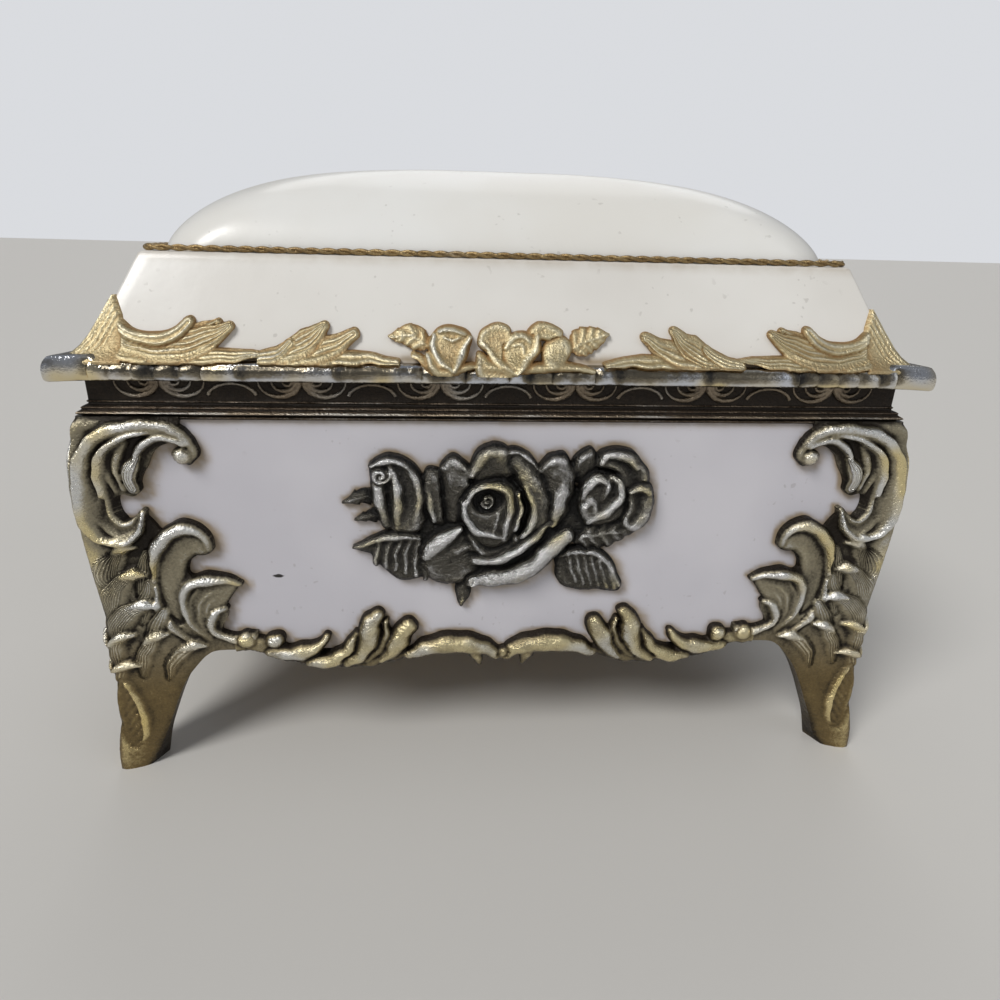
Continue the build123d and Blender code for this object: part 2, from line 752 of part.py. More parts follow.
# Movement frame
governor_bearing = governor_arbor_radius + bearing_clearance
cylinder_bearing = cylinder_arbor_radius + bearing_clearance
fan_bearing = fan_arbor_radius + bearing_clearance
comb_height = cylinder_height
comb_front = -cylinder_radius - comb_tip_gap - comb_longest - comb_base
with BuildPart() as movement_bedplate:
    with BuildSketch(Plane.XY.offset(plate_top)):
        with Locations(((bedplate_left + bedplate_right) / 2, (bedplate_front + bedplate_back) / 2)):
            RectangleRounded(bedplate_right - bedplate_left, bedplate_back - bedplate_front, 2.5)
        with Locations((barrel_x, 0)):
            Circle(arbor_radius + bearing_clearance, mode=Mode.SUBTRACT)
        with Locations(*movement_screw_spots):
            Circle(screw_radius + screw_clearance, mode=Mode.SUBTRACT)
        with Locations((worm_x, worm_y)):
            Circle(fan_bearing, mode=Mode.SUBTRACT)
    extrude(amount=bedplate_thickness)
    with BuildSketch(Plane.XY.offset(bedplate_top)):
        with Locations((cylinder_x + cylinder_length / 2, comb_front + comb_base / 2)):
            Rectangle(cylinder_length, comb_base)
    extrude(amount=comb_height - comb_thickness / 2 - bedplate_top)
save(movement_bedplate.part, "movement_bedplate")

comb_left = cylinder_x + (cylinder_length - comb_teeth * comb_pitch) / 2
comb_bottom = comb_height - comb_thickness / 2
tip_y_place = -cylinder_radius - comb_tip_gap
comb_screw_spots = [
    (cylinder_x + cylinder_length * share, comb_front + comb_base / 2) for share in (0.2, 0.8)
]
with BuildPart() as comb:
    with BuildSketch(Plane.XY.offset(comb_bottom)):
        with Locations((cylinder_x + cylinder_length / 2, comb_front + comb_base / 2)):
            Rectangle(cylinder_length, comb_base)
        for index in range(comb_teeth):
            share = index / (comb_teeth - 1)
            root = tip_y_place - comb_longest + share * (comb_longest - comb_shortest)
            with BuildLine():
                left = comb_left + index * comb_pitch
                Polyline(
                    (left, comb_front + comb_base - 0.5),
                    (left + comb_pitch, comb_front + comb_base - 0.5),
                    (left + comb_pitch, root),
                    (left + comb_pitch - comb_slot / 2, root),
                    (left + comb_pitch - comb_slot / 2, tip_y_place),
                    (left + comb_slot / 2, tip_y_place),
                    (left + comb_slot / 2, root),
                    (left, root),
                    close=True,
                )
            make_face()
        with Locations(*comb_screw_spots):
            Circle(screw_radius + screw_clearance, mode=Mode.SUBTRACT)
    extrude(amount=comb_thickness)
save(comb.part, "comb")

with BuildPart() as comb_screws:
    with BuildSketch(Plane.XY.offset(comb_bottom)):
        with Locations(*comb_screw_spots):
            Circle(screw_radius)
    extrude(amount=comb_thickness + screw_head_height / 2)
    with BuildSketch(Plane.XY.offset(comb_bottom + comb_thickness)):
        with Locations(*comb_screw_spots):
            Circle(screw_head_radius)
    extrude(amount=screw_head_height)
    with BuildSketch(Plane.XY.offset(comb_bottom + comb_thickness + screw_head_height / 2)):
        with Locations(*comb_screw_spots):
            Rectangle(2 * screw_head_radius, 0.5)
    extrude(amount=screw_head_height, mode=Mode.SUBTRACT)
save(comb_screws.part, "comb_screws")


def upright(x, thickness, outline_points, holes):
    """Upright cheek across the cylinder's line, with its bearing holes."""
    with BuildPart() as cheek:
        with BuildSketch(Plane.YZ.offset(x)):
            with BuildLine():
                Polyline(*outline_points, close=True)
            make_face()
            for y, z, radius in holes:
                with Locations((y, z)):
                    Circle(radius, mode=Mode.SUBTRACT)
        extrude(amount=thickness)
    return cheek.part


with BuildPart() as cylinder_bracket:
    cheek_top = cylinder_height + bracket_cap
    cheek_points = (
        (-bracket_foot, bedplate_top),
        (bracket_foot, bedplate_top),
        (bracket_cap, cheek_top),
        (-bracket_cap, cheek_top),
    )
    add(upright(left_bracket_x, bracket_thickness, cheek_points, ((0, cylinder_height, cylinder_bearing),)))
save(cylinder_bracket.part, "cylinder_bracket")

post_y = worm_y + fan_radius + arm_overhang
with BuildPart() as governor_bracket:
    inner_points = (
        (-bracket_foot, bedplate_top),
        (governor_y + bracket_cap, bedplate_top),
        (governor_y + bracket_cap, governor_height + governor_cap),
        (bracket_cap, cylinder_height + bracket_cap),
        (-bracket_cap, cylinder_height + bracket_cap),
    )
    inner_holes = ((0, cylinder_height, cylinder_bearing), (governor_y, governor_height, governor_bearing))
    add(upright(right_bracket_x, bracket_thickness, inner_points, inner_holes))
    outer_points = (
        (governor_y - bracket_cap, bedplate_top),
        (governor_y + bracket_cap, bedplate_top),
        (governor_y + bracket_cap, governor_height + governor_cap),
        (governor_y - bracket_cap, governor_height + governor_cap),
    )
    outer_holes = ((governor_y, governor_height, governor_bearing),)
    add(upright(outer_cheek_x, bracket_base, outer_points, outer_holes))
    base_right = outer_cheek_x + bracket_base
    base_front = governor_y - bracket_cap
    post_back = post_y + post_depth
    arm_front = worm_y - arm_overhang
    with BuildSketch(Plane.XY.offset(bedplate_top)):
        with Locations(((right_bracket_x + base_right) / 2, (post_back + base_front) / 2)):
            Rectangle(base_right - right_bracket_x, post_back - base_front)
        with Locations((worm_x, worm_y)):
            Circle(fan_bearing, mode=Mode.SUBTRACT)
    extrude(amount=bracket_base)
    with BuildSketch(Plane.XY.offset(bedplate_top)):
        with Locations((worm_x, post_y + post_depth / 2)):
            Rectangle(arm_width, post_depth)
    extrude(amount=arm_height + arm_thickness - bedplate_top)
    with BuildSketch(Plane.XY.offset(arm_height)):
        with Locations((worm_x, (arm_front + post_back) / 2)):
            Rectangle(arm_width, post_back - arm_front)
        with Locations((worm_x, worm_y)):
            Circle(fan_bearing, mode=Mode.SUBTRACT)
    extrude(amount=arm_thickness)
save(governor_bracket.part, "governor_bracket")

bridge_height = bedplate_top + barrel_lift + drum_height + 0.6
with BuildPart() as barrel_bridge:
    for hand in (-1, 1):
        with BuildSketch(Plane.XY.offset(bedplate_top)):
            with Locations((barrel_x, hand * pillar_offset)):
                Circle(pillar_radius)
        extrude(amount=bridge_height - bedplate_top)
    with BuildSketch(Plane.XY.offset(bridge_height)):
        with Locations((barrel_x, 0)):
            SlotOverall(2 * pillar_offset + bridge_width, bridge_width, rotation=90)
            Circle(arbor_radius + bearing_clearance, mode=Mode.SUBTRACT)
    extrude(amount=bridge_thickness)
save(barrel_bridge.part, "barrel_bridge")


# Toothed wheels
def involute(angle):
    return tan(angle) - angle


def gear_points(teeth, module, backlash, turn, addendum):
    """Outline of a spur wheel; each flank runs through its root, base, pitch and tip."""
    pitch = module * teeth / 2
    base = pitch * cos(radians(20))
    tip = pitch + addendum * module
    root = pitch - 1.2 * module
    pitch_half = pi / (2 * teeth) - backlash / (4 * pitch)

    def flank(radius):
        if radius <= base:
            return pitch_half + involute(radians(20))
        return pitch_half + involute(radians(20)) - involute(acos(base / radius))

    radii = [root] + [r for r in (max(base, root * 1.01), pitch) if r > root] + [(pitch + tip) / 2, tip]
    points = []
    for tooth in range(teeth):
        centre = radians(turn) + tooth * 2 * pi / teeth
        for radius in radii:
            angle = centre - flank(radius)
            points.append((radius * cos(angle), radius * sin(angle)))
        for radius in reversed(radii):
            angle = centre + flank(radius)
            points.append((radius * cos(angle), radius * sin(angle)))
    return points


def spur_wheel(teeth, module, backlash, turn, x, y, z, face, bore, addendum=1.0):
    """Spur wheel on an arbor that lies along X."""
    with BuildPart() as wheel:
        with BuildSketch(Plane(origin=(x, y, z), x_dir=(0, 1, 0), z_dir=(1, 0, 0))):
            with BuildLine():
                Polyline(*gear_points(teeth, module, backlash, turn, addendum), close=True)
            make_face()
            Circle(bore, mode=Mode.SUBTRACT)
        extrude(amount=face)
    return wheel.part


# Spring barrel: drum, crown wheel and caps, on the winding arbor
drum_base = bedplate_top + barrel_lift
flange_top = crown_plane - 1.2 * crown_module
crown_inner = crown_radius - crown_face / 2
tooth_half = (pi * crown_module / 2 - crown_backlash) / 2
slant = tan(radians(20))
with BuildPart() as crown_tooth:
    with BuildSketch(Plane.YZ.offset(crown_inner)):
        with BuildLine():
            low = tooth_half + 1.25 * crown_module * slant
            high = tooth_half - 0.9 * crown_module * slant
            Polyline(
                (-low, crown_plane - 1.25 * crown_module),
                (low, crown_plane - 1.25 * crown_module),
                (high, crown_plane + 0.9 * crown_module),
                (-high, crown_plane + 0.9 * crown_module),
                close=True,
            )
        make_face()
    extrude(amount=crown_face)
with BuildPart(Plane.XY) as spring_barrel:
    with BuildSketch(Plane.XY.offset(drum_base)):
        Circle(drum_radius)
    extrude(amount=drum_height)
    with BuildSketch(Plane.XY.offset(flange_top - flange_thickness)):
        Circle(crown_radius + crown_face / 2)
    extrude(amount=flange_thickness)
    with BuildSketch(Plane.XY.offset(drum_base + drum_wall)):
        Circle(drum_radius - drum_wall)
    extrude(amount=drum_height - 2 * drum_wall, mode=Mode.SUBTRACT)
    with BuildSketch(Plane.XY.offset(drum_base)):
        Circle(arbor_radius + bearing_clearance)
    extrude(amount=drum_height, mode=Mode.SUBTRACT)
    with PolarLocations(0, crown_teeth):
        add(crown_tooth.part)
save(spring_barrel.part.moved(Location((barrel_x, 0, 0))), "spring_barrel")

with BuildPart() as mainspring:
    with BuildSketch(Plane.XY.offset(drum_base + drum_wall + 0.3)):
        with BuildLine():
            ends = []
            for edge_offset in (-spring_strip / 2, spring_strip / 2):
                for turn in range(spring_half_turns):
                    centre_x = 0 if turn % 2 == 0 else spring_pitch / 2
                    radius = spring_inner + turn * spring_pitch / 2 + edge_offset
                    start_angle = 0 if turn % 2 == 0 else 180
                    CenterArc((centre_x, 0), radius, start_angle, 180)
                    if turn == 0:
                        ends.append((centre_x + radius, 0))
                    if turn == spring_half_turns - 1:
                        ends.append((centre_x + radius * cos(radians(start_angle + 180)), 0))
            Line(ends[0], ends[2])
            Line(ends[1], ends[3])
        make_face()
    extrude(amount=drum_height - 2 * drum_wall - 0.6)
save(mainspring.part.moved(Location((barrel_x, 0, 0))), "mainspring")

with BuildPart() as winding_arbor:
    with BuildSketch(Plane.XY.offset(plate_height - key_drop + key_blade_height)):
        with Locations((barrel_x, 0)):
            Circle(arbor_radius)
    extrude(amount=bridge_height + bridge_thickness + 0.8 - (plate_height - key_drop + key_blade_height))
save(winding_arbor.part, "winding_arbor")

key_base = plate_height - key_drop
with BuildPart() as winding_key:
    with BuildSketch(Plane.XY.offset(key_base + key_blade_height - 2)):
        with Locations((barrel_x, 0)):
            Circle(key_hub_radius)
    extrude(amount=key_drop - key_blade_height + 1.2)
    with BuildSketch(Plane.XZ.offset(-key_blade / 2)):
        for hand in (-1, 1):
            with Locations((barrel_x + hand * key_width / 4, key_base + key_blade_height / 2)):
                Ellipse(key_width / 4, key_blade_height / 2)
        with Locations((barrel_x, key_base + key_blade_height / 2 + 0.8)):
            Rectangle(key_width / 2, key_blade_height * 0.55)
    extrude(amount=key_blade)
    fillet(winding_key.edges().filter_by(GeomType.ELLIPSE), radius=0.4)
    with BuildSketch(Plane.XY.offset(key_base + key_blade_height)):
        with Locations((barrel_x, 0)):
            Circle(arbor_radius)
    extrude(amount=key_drop, mode=Mode.SUBTRACT)
save(winding_key.part, "winding_key")


def rod_x(start, length, y, z, radius):
    """Arbor lying along X."""
    with BuildPart() as rod:
        with BuildSketch(Plane(origin=(start, y, z), x_dir=(0, 1, 0), z_dir=(1, 0, 0))):
            Circle(radius)
        extrude(amount=length)
    return rod.part


# Music cylinder with its arbor, pinion and wheel
arbor_start = barrel_x + crown_inner
arbor_end = right_bracket_x + bracket_thickness + 0.5
save(rod_x(arbor_start, arbor_end - arbor_start, 0, cylinder_height, cylinder_arbor_radius), "cylinder_arbor")
pinion_turn = 180 / pinion_teeth
save(
    spur_wheel(pinion_teeth, crown_module, crown_backlash, pinion_turn, arbor_start, 0, cylinder_height,
               crown_face, cylinder_arbor_radius),
    "cylinder_pinion",
)
with BuildPart() as music_cylinder:
    cylinder_plane = Plane(origin=(cylinder_x, 0, cylinder_height), x_dir=(0, 1, 0), z_dir=(1, 0, 0))
    with BuildSketch(cylinder_plane):
        Circle(cylinder_radius)
    extrude(amount=cylinder_length)
    with BuildSketch(cylinder_plane.offset(1.0)):
        Circle(cylinder_radius - cylinder_wall)
    extrude(amount=cylinder_length - 2.0, mode=Mode.SUBTRACT)
    with BuildSketch(cylinder_plane):
        Circle(cylinder_arbor_radius)
    extrude(amount=cylinder_length, mode=Mode.SUBTRACT)
save(music_cylinder.part, "music_cylinder")

mesh_line = degrees(atan2(governor_height - cylinder_height, governor_y))
save(
    spur_wheel(wheel_teeth, wheel_module, wheel_backlash, mesh_line, wheel_x, 0, cylinder_height,
               wheel_face, cylinder_arbor_radius),
    "cylinder_wheel",
)

# Governor: pinion and worm wheel on one arbor, then the worm that carries the fan
governor_start = wheel_x - 0.2
governor_length = outer_cheek_x + bracket_base + 0.6 - governor_start
save(
    rod_x(governor_start, governor_length, governor_y, governor_height, governor_arbor_radius),
    "governor_arbor",
)
save(
    spur_wheel(governor_pinion_teeth, wheel_module, wheel_backlash,
               mesh_line + 180 + 180 / governor_pinion_teeth, wheel_x, governor_y, governor_height,
               wheel_face, governor_arbor_radius),
    "governor_pinion",
)
save(
    spur_wheel(worm_wheel_teeth, worm_module, worm_tooth_gap, 0, worm_wheel_x, governor_y, governor_height,
               worm_wheel_face, governor_arbor_radius, worm_wheel_addendum),
    "worm_wheel",
)

axial_pitch = pi * worm_module
worm_lead = worm_starts * axial_pitch
worm_core = worm_radius - 1.1 * worm_module
worm_outer = worm_radius + 0.8 * worm_module
with BuildPart() as governor_worm:
    with BuildSketch(Plane.XY.offset(plate_top + 0.3)):
        Circle(fan_arbor_radius)
    extrude(amount=arm_height + arm_thickness - plate_top)
    with BuildSketch(Plane.XY.offset(governor_height - worm_length / 2)):
        Circle(worm_core)
    extrude(amount=worm_length)
    with BuildLine() as thread_line:
        Helix(pitch=worm_lead, height=worm_lead * 1.9, radius=worm_radius,
              center=(0, 0, governor_height - worm_lead))
    with BuildSketch(Plane(origin=thread_line.line @ 0, x_dir=(1, 0, 0), z_dir=thread_line.line % 0)):
        with BuildLine():
            Polyline(
                (worm_core - worm_radius - 0.15, -0.42),
                (worm_core - worm_radius - 0.15, 0.42),
                (worm_outer - worm_radius, 0.14),
                (worm_outer - worm_radius, -0.14),
                close=True,
            )
        make_face()
    sweep(path=thread_line.line, is_frenet=True)
save(governor_worm.part.moved(Location((worm_x, worm_y, 0))), "governor_worm")

with BuildPart() as governor_fan:
    with BuildSketch(Plane.XY.offset(fan_base)):
        with Locations((worm_x, worm_y)):
            Circle(fan_boss_radius)
            Rectangle(2 * fan_radius - 0.1, fan_blade)
            Circle(fan_arbor_radius, mode=Mode.SUBTRACT)
    extrude(amount=fan_height)
save(governor_fan.part, "governor_fan")

# Stop wire: an upright that the lid's pad holds down, with an arm to the fan
wire_top = pad_height - 0.1
wire_foot = plate_top + 1.5
wire_arm_z = fan_top - wire_arm_below
finger_x = worm_x + fan_radius + wire_stand_off
with BuildPart() as stop_wire:
    with BuildSketch(Plane.XY.offset(wire_foot)):
        with Locations((wire_x, worm_y)):
            Circle(wire_radius)
    extrude(amount=wire_top - wire_foot)
    add(rod_x(finger_x, wire_x - finger_x, worm_y, wire_arm_z, wire_radius))
save(stop_wire.part, "stop_wire")

with BuildPart() as wire_guide:
    with BuildSketch(Plane.XY.offset(plate_top)):
        with Locations((wire_x, worm_y)):
            Circle(wire_radius + 1.5)
            Circle(wire_radius + bearing_clearance, mode=Mode.SUBTRACT)
    extrude(amount=guide_length)
save(wire_guide.part, "wire_guide")
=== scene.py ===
"""Looks of a footed musical jewelry box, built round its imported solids.

The castings are drawn as relief maps, the way a chaser draws with strokes and lobes, and then raised
into closed meshes. Sizes are in millimetres, and meshes are written in metres in the part's own frame.
"""
import json
import logging
import math
from collections.abc import Callable, Iterable, Sequence
from dataclasses import dataclass, field
from enum import Enum

import bpy
import numpy as np
from mathutils import Matrix, Vector

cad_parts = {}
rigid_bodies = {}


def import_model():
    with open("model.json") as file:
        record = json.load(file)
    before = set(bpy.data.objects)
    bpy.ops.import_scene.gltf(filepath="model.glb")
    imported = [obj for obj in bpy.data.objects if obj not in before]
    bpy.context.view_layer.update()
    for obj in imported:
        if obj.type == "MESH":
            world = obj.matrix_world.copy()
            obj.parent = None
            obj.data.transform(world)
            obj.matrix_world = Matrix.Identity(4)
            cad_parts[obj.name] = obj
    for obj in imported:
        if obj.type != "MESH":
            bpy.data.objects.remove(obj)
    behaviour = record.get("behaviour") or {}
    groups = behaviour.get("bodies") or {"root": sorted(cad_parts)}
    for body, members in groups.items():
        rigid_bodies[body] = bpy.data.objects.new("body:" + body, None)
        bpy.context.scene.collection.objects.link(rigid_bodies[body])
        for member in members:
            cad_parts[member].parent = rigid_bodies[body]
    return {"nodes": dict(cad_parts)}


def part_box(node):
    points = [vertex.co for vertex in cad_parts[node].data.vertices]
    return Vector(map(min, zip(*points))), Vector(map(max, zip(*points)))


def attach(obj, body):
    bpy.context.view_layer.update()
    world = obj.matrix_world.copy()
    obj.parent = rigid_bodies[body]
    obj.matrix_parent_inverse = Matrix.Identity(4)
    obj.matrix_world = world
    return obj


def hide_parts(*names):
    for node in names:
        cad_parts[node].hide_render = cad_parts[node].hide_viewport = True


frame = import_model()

LOG = logging.getLogger("jewelry_box")
MM = 0.001
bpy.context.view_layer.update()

FAR = 9.0  # distance in millimetres that counts as clear of every drawn shape
CRISP = 60.0  # bend in degrees from which a casting's edge stays crisp

Point = tuple[float, float]
Grid = np.ndarray
Place = Callable[[Grid, Grid, Grid], Grid]


class Side(Enum):
    """The four walls, each with its direction along the wall and its outward direction."""

    FRONT = ((1, 0), (0, -1))
    BACK = ((-1, 0), (0, 1))
    RIGHT = ((0, 1), (1, 0))
    LEFT = ((0, -1), (-1, 0))

    @property
    def is_long(self) -> bool:
        """Whether the wall is one of the two long ones."""
        return self in (Side.FRONT, Side.BACK)

    def named(self, part: str) -> str:
        """Name of a piece on this side."""
        return f"{self.name.lower()}_{part}"

    def points(self, along: Grid, out: Grid, z: Grid) -> Grid:
        """Points from places along the wall, distances outwards from the box's middle and heights."""
        along_dir, out_dir = (np.array([*v, 0.0]) for v in self.value)
        points = along[..., None] * along_dir + out[..., None] * out_dir
        return points + z[..., None] * np.array([0.0, 0.0, 1.0])


@dataclass(frozen=True)
class Corner:
    """One corner of the box: which end it is at, and which side."""

    x_sign: int
    y_sign: int

    def named(self, part: str) -> str:
        """Name of a piece at this corner."""
        return f"{'left' if self.x_sign < 0 else 'right'}_{'front' if self.y_sign < 0 else 'back'}_{part}"

    def casting(
        self, part: str, relief: "Relief", back: Grid | float, blend: float,
        edge: Callable[[Grid], Grid], half: Callable[[Grid], tuple[Grid | float, Grid | float]],
    ) -> bpy.types.Object:
        """Raise one drawing on both walls of the corner, and join the halves along its edge.

        Args:
            part: What the piece is called at every corner.
            relief: The drawing, which runs inwards from the corner's edge.
            back: Height of the casting's back.
            blend: Distance over which the drawing leaves the edge's own line.
            edge: Reach of the edge beyond the faces at each height.
            half: Half length and half depth of the faces at each height.

        Returns:
            The casting.
        """
        def put(inwards: Grid, z: Grid, out: Grid) -> Grid:
            """Point for a place inwards from the edge, a height and a relief."""
            share = np.clip(inwards / blend, 0, 1)
            meet = 1 - share * share * (3 - 2 * share)
            along = out * meet + edge(z) * (1 - meet) - inwards
            first, second = (along, out) if on_long_wall else (out, along)
            half_x, half_y = half(z)
            return np.stack([self.x_sign * (half_x + first), self.y_sign * (half_y + second), z], axis=-1)

        halves = []
        for on_long_wall in (True, False):
            points, quads, marks = relief.solid(put, back, open_start=True)
            flip = on_long_wall == (self.x_sign * self.y_sign > 0)
            halves.append((points, quads[:, ::-1] if flip else quads, marks))
        return casting(self.named(part), *weld(halves))


CORNERS = tuple(Corner(x_sign, y_sign) for x_sign in (-1, 1) for y_sign in (-1, 1))


@dataclass(frozen=True)
class Plan:
    """Driving sizes of the box, as its solids have them."""

    face_x: float = 57.2
    face_y: float = 39.4
    wall: float = 1.8
    wall_base: float = 19.6
    moulding_base: float = 56.4
    rim_top: float = 64.5
    rim_x: float = 58.7
    rim_y: float = 40.9
    lid_top: float = 78.05
    lid_low_x: float = 56.7
    lid_low_y: float = 38.9
    lid_high_x: float = 49.8
    lid_high_y: float = 33.08
    lid_wall: float = 1.5
    ledge: float = 44.4

    def face(self, side: Side) -> float:
        """Distance of a wall's outer face from the middle of the box."""
        return self.face_y if side.is_long else self.face_x

    def half(self, side: Side) -> float:
        """Half length of a wall's outer face."""
        return self.face_x if side.is_long else self.face_y

    def lid_half(self, z: Grid | float, along_x: bool) -> Grid | float:
        """Half size of the lid's sloping faces at a height, held below the rim's top.

        Args:
            z: Height in millimetres.
            along_x: True for the half length, False for the half depth.

        Returns:
            Half size in millimetres.
        """
        share = np.clip((np.asarray(z) - self.rim_top) / (self.lid_top - self.rim_top), 0.0, 1.0)
        low, high = (self.lid_low_x, self.lid_high_x) if along_x else (self.lid_low_y, self.lid_high_y)
        return low + share * (high - low)


PLAN = Plan()


# Curves and meshes
def spline(points: Sequence[Point], closed: bool = False, spans: int = 8) -> Grid:
    """Smooth Catmull-Rom curve through given points.

    Args:
        points: Points that the curve passes through.
        closed: Whether the last point joins the first.
        spans: Steps between two neighbouring points.

    Returns:
        Points of the curve, one row each.
    """
    knots = np.asarray(points, float)
    if closed:
        knots = np.vstack([knots[-1], knots, knots[0], knots[1]])
    else:
        knots = np.vstack([2 * knots[0] - knots[1], knots, 2 * knots[-1] - knots[-2]])
    steps = np.linspace(0.0, 1.0, spans, endpoint=False)[:, None]
    pieces = []
    for a, b, c, d in zip(knots[:-3], knots[1:-2], knots[2:-1], knots[3:]):
        bend = 2 * b + (c - a) * steps
        bend = bend + (2 * a - 5 * b + 4 * c - d) * steps**2 + (3 * b - a - 3 * c + d) * steps**3
        pieces.append(bend / 2)
    pieces.append(knots[-2][None, :])
    return np.vstack(pieces)


def new_object(
    name: str,
    verts: Grid,
    faces: Sequence[Sequence[int]] | Grid,
    attributes: dict[str, Grid] | None = None,
    sharp: float = 50.0,
) -> bpy.types.Object:
    """Make a shaded mesh object from points in millimetres, with its faces turned outwards.

    Args:
        name: Name of the piece.
        verts: Points, one row each.
        faces: Corner numbers of each face.
        attributes: Values per point that the finish reads, by name.
        sharp: Edges that bend more than this many degrees stay crisp.

    Returns:
        The new object, at the origin.
    """
    mesh = bpy.data.meshes.new(name)
    corners = np.asarray(faces) if isinstance(faces, np.ndarray) else None
    if corners is None:
        loops = np.concatenate([np.asarray(f) for f in faces])
        sizes = np.array([len(f) for f in faces])
    else:
        loops = corners.ravel()
        sizes = np.full(len(corners), corners.shape[1])
    starts = np.concatenate([[0], np.cumsum(sizes)[:-1]])
    first, second, third = loops[starts], loops[starts + 1], loops[starts + 2]
    last = loops[starts + sizes - 1]
    volume = np.einsum("ij,ij->i", verts[first], np.cross(verts[second], verts[third])).sum()
    volume += np.einsum("ij,ij->i", verts[first], np.cross(verts[third], verts[last])).sum()
    if volume < 0:
        flipped = [loops[s : s + n][::-1] for s, n in zip(starts, sizes)]
        loops = np.concatenate(flipped)
    mesh.vertices.add(len(verts))
    mesh.vertices.foreach_set("co", (np.asarray(verts) * MM).astype(np.float32).ravel())
    mesh.loops.add(len(loops))
    mesh.loops.foreach_set("vertex_index", loops.astype(np.int32))
    mesh.polygons.add(len(sizes))
    mesh.polygons.foreach_set("loop_start", starts.astype(np.int32))
    mesh.update(calc_edges=True)
    mesh.polygons.foreach_set("use_smooth", np.ones(len(sizes), bool))
    for key, values in (attributes or {}).items():
        layer = mesh.attributes.new(key, "FLOAT", "POINT")
        layer.data.foreach_set("value", np.asarray(values, np.float32))
    mesh.validate()
    mesh.set_sharp_from_angle(angle=math.radians(sharp))
    piece = bpy.data.objects.new(name, mesh)
    bpy.context.scene.collection.objects.link(piece)
    return piece


def at_height(outline: Grid, z: float | Grid) -> Grid:
    """Points of a flat outline at a height, or each at its own height."""
    return np.column_stack([outline, np.broadcast_to(z, len(outline))])


def ring_faces(rings: int, around: int, closed_section: bool = True) -> Grid:
    """Quads between rings of points, each ring closed on itself.

    Args:
        rings: Number of rings.
        around: Points in a ring.
        closed_section: Whether the last ring joins the first.

    Returns:
        Corner numbers of the quads.
    """
    last = rings if closed_section else rings - 1
    i, j = np.meshgrid(np.arange(last), np.arange(around), indexing="ij")
    a = i * around + j
    b = i * around + (j + 1) % around
    c = ((i + 1) % rings) * around + (j + 1) % around
    d = ((i + 1) % rings) * around + j
    return np.stack([a, b, c, d], axis=-1).reshape(-1, 4)


def rounded_rectangle(half_x: float, half_y: float, radius: float, arc: int = 8, span: int = 12) -> Grid:
    """Points round a rectangle with rounded corners, evenly numbered for every size.

    Args:
        half_x: Half length.
        half_y: Half depth.
        radius: Corner radius.
        arc: Steps in each corner.
        span: Steps along each straight side.

    Returns:
        Points in order round the outline.
    """
    radius = min(radius, half_x * 0.98, half_y * 0.98)
    centres = ((1, -1, -90), (1, 1, 0), (-1, 1, 90), (-1, -1, 180))
    corners = []
    for sx, sy, start in centres:
        angles = np.radians(start + np.linspace(0, 90, arc + 1))
        x = sx * (half_x - radius) + radius * np.cos(angles)
        y = sy * (half_y - radius) + radius * np.sin(angles)
        corners.append(np.stack([x, y], axis=-1))
    points = []
    for index, corner in enumerate(corners):
        following = corners[(index + 1) % 4][0]
        points.append(corner)
        shares = np.linspace(0, 1, span + 1)[1:-1, None]
        points.append(corner[-1] + shares * (following - corner[-1]))
    return np.vstack(points)


def wave(x: Grid, seed: float, count: int = 5) -> Grid:
    """Smooth hand-made unevenness between about -1 and 1.

    Args:
        x: Places in radians of the slowest wave.
        seed: Starting phase, so that edges differ.
        count: Number of waves added together.

    Returns:
        The unevenness at each place.
    """
    total = np.zeros_like(np.asarray(x, float))
    for k in range(1, count + 1):
        total = total + np.sin(x * k * 1.37 + seed * (2.3 * k + 1.1)) / k**0.7
    return total / 2.4


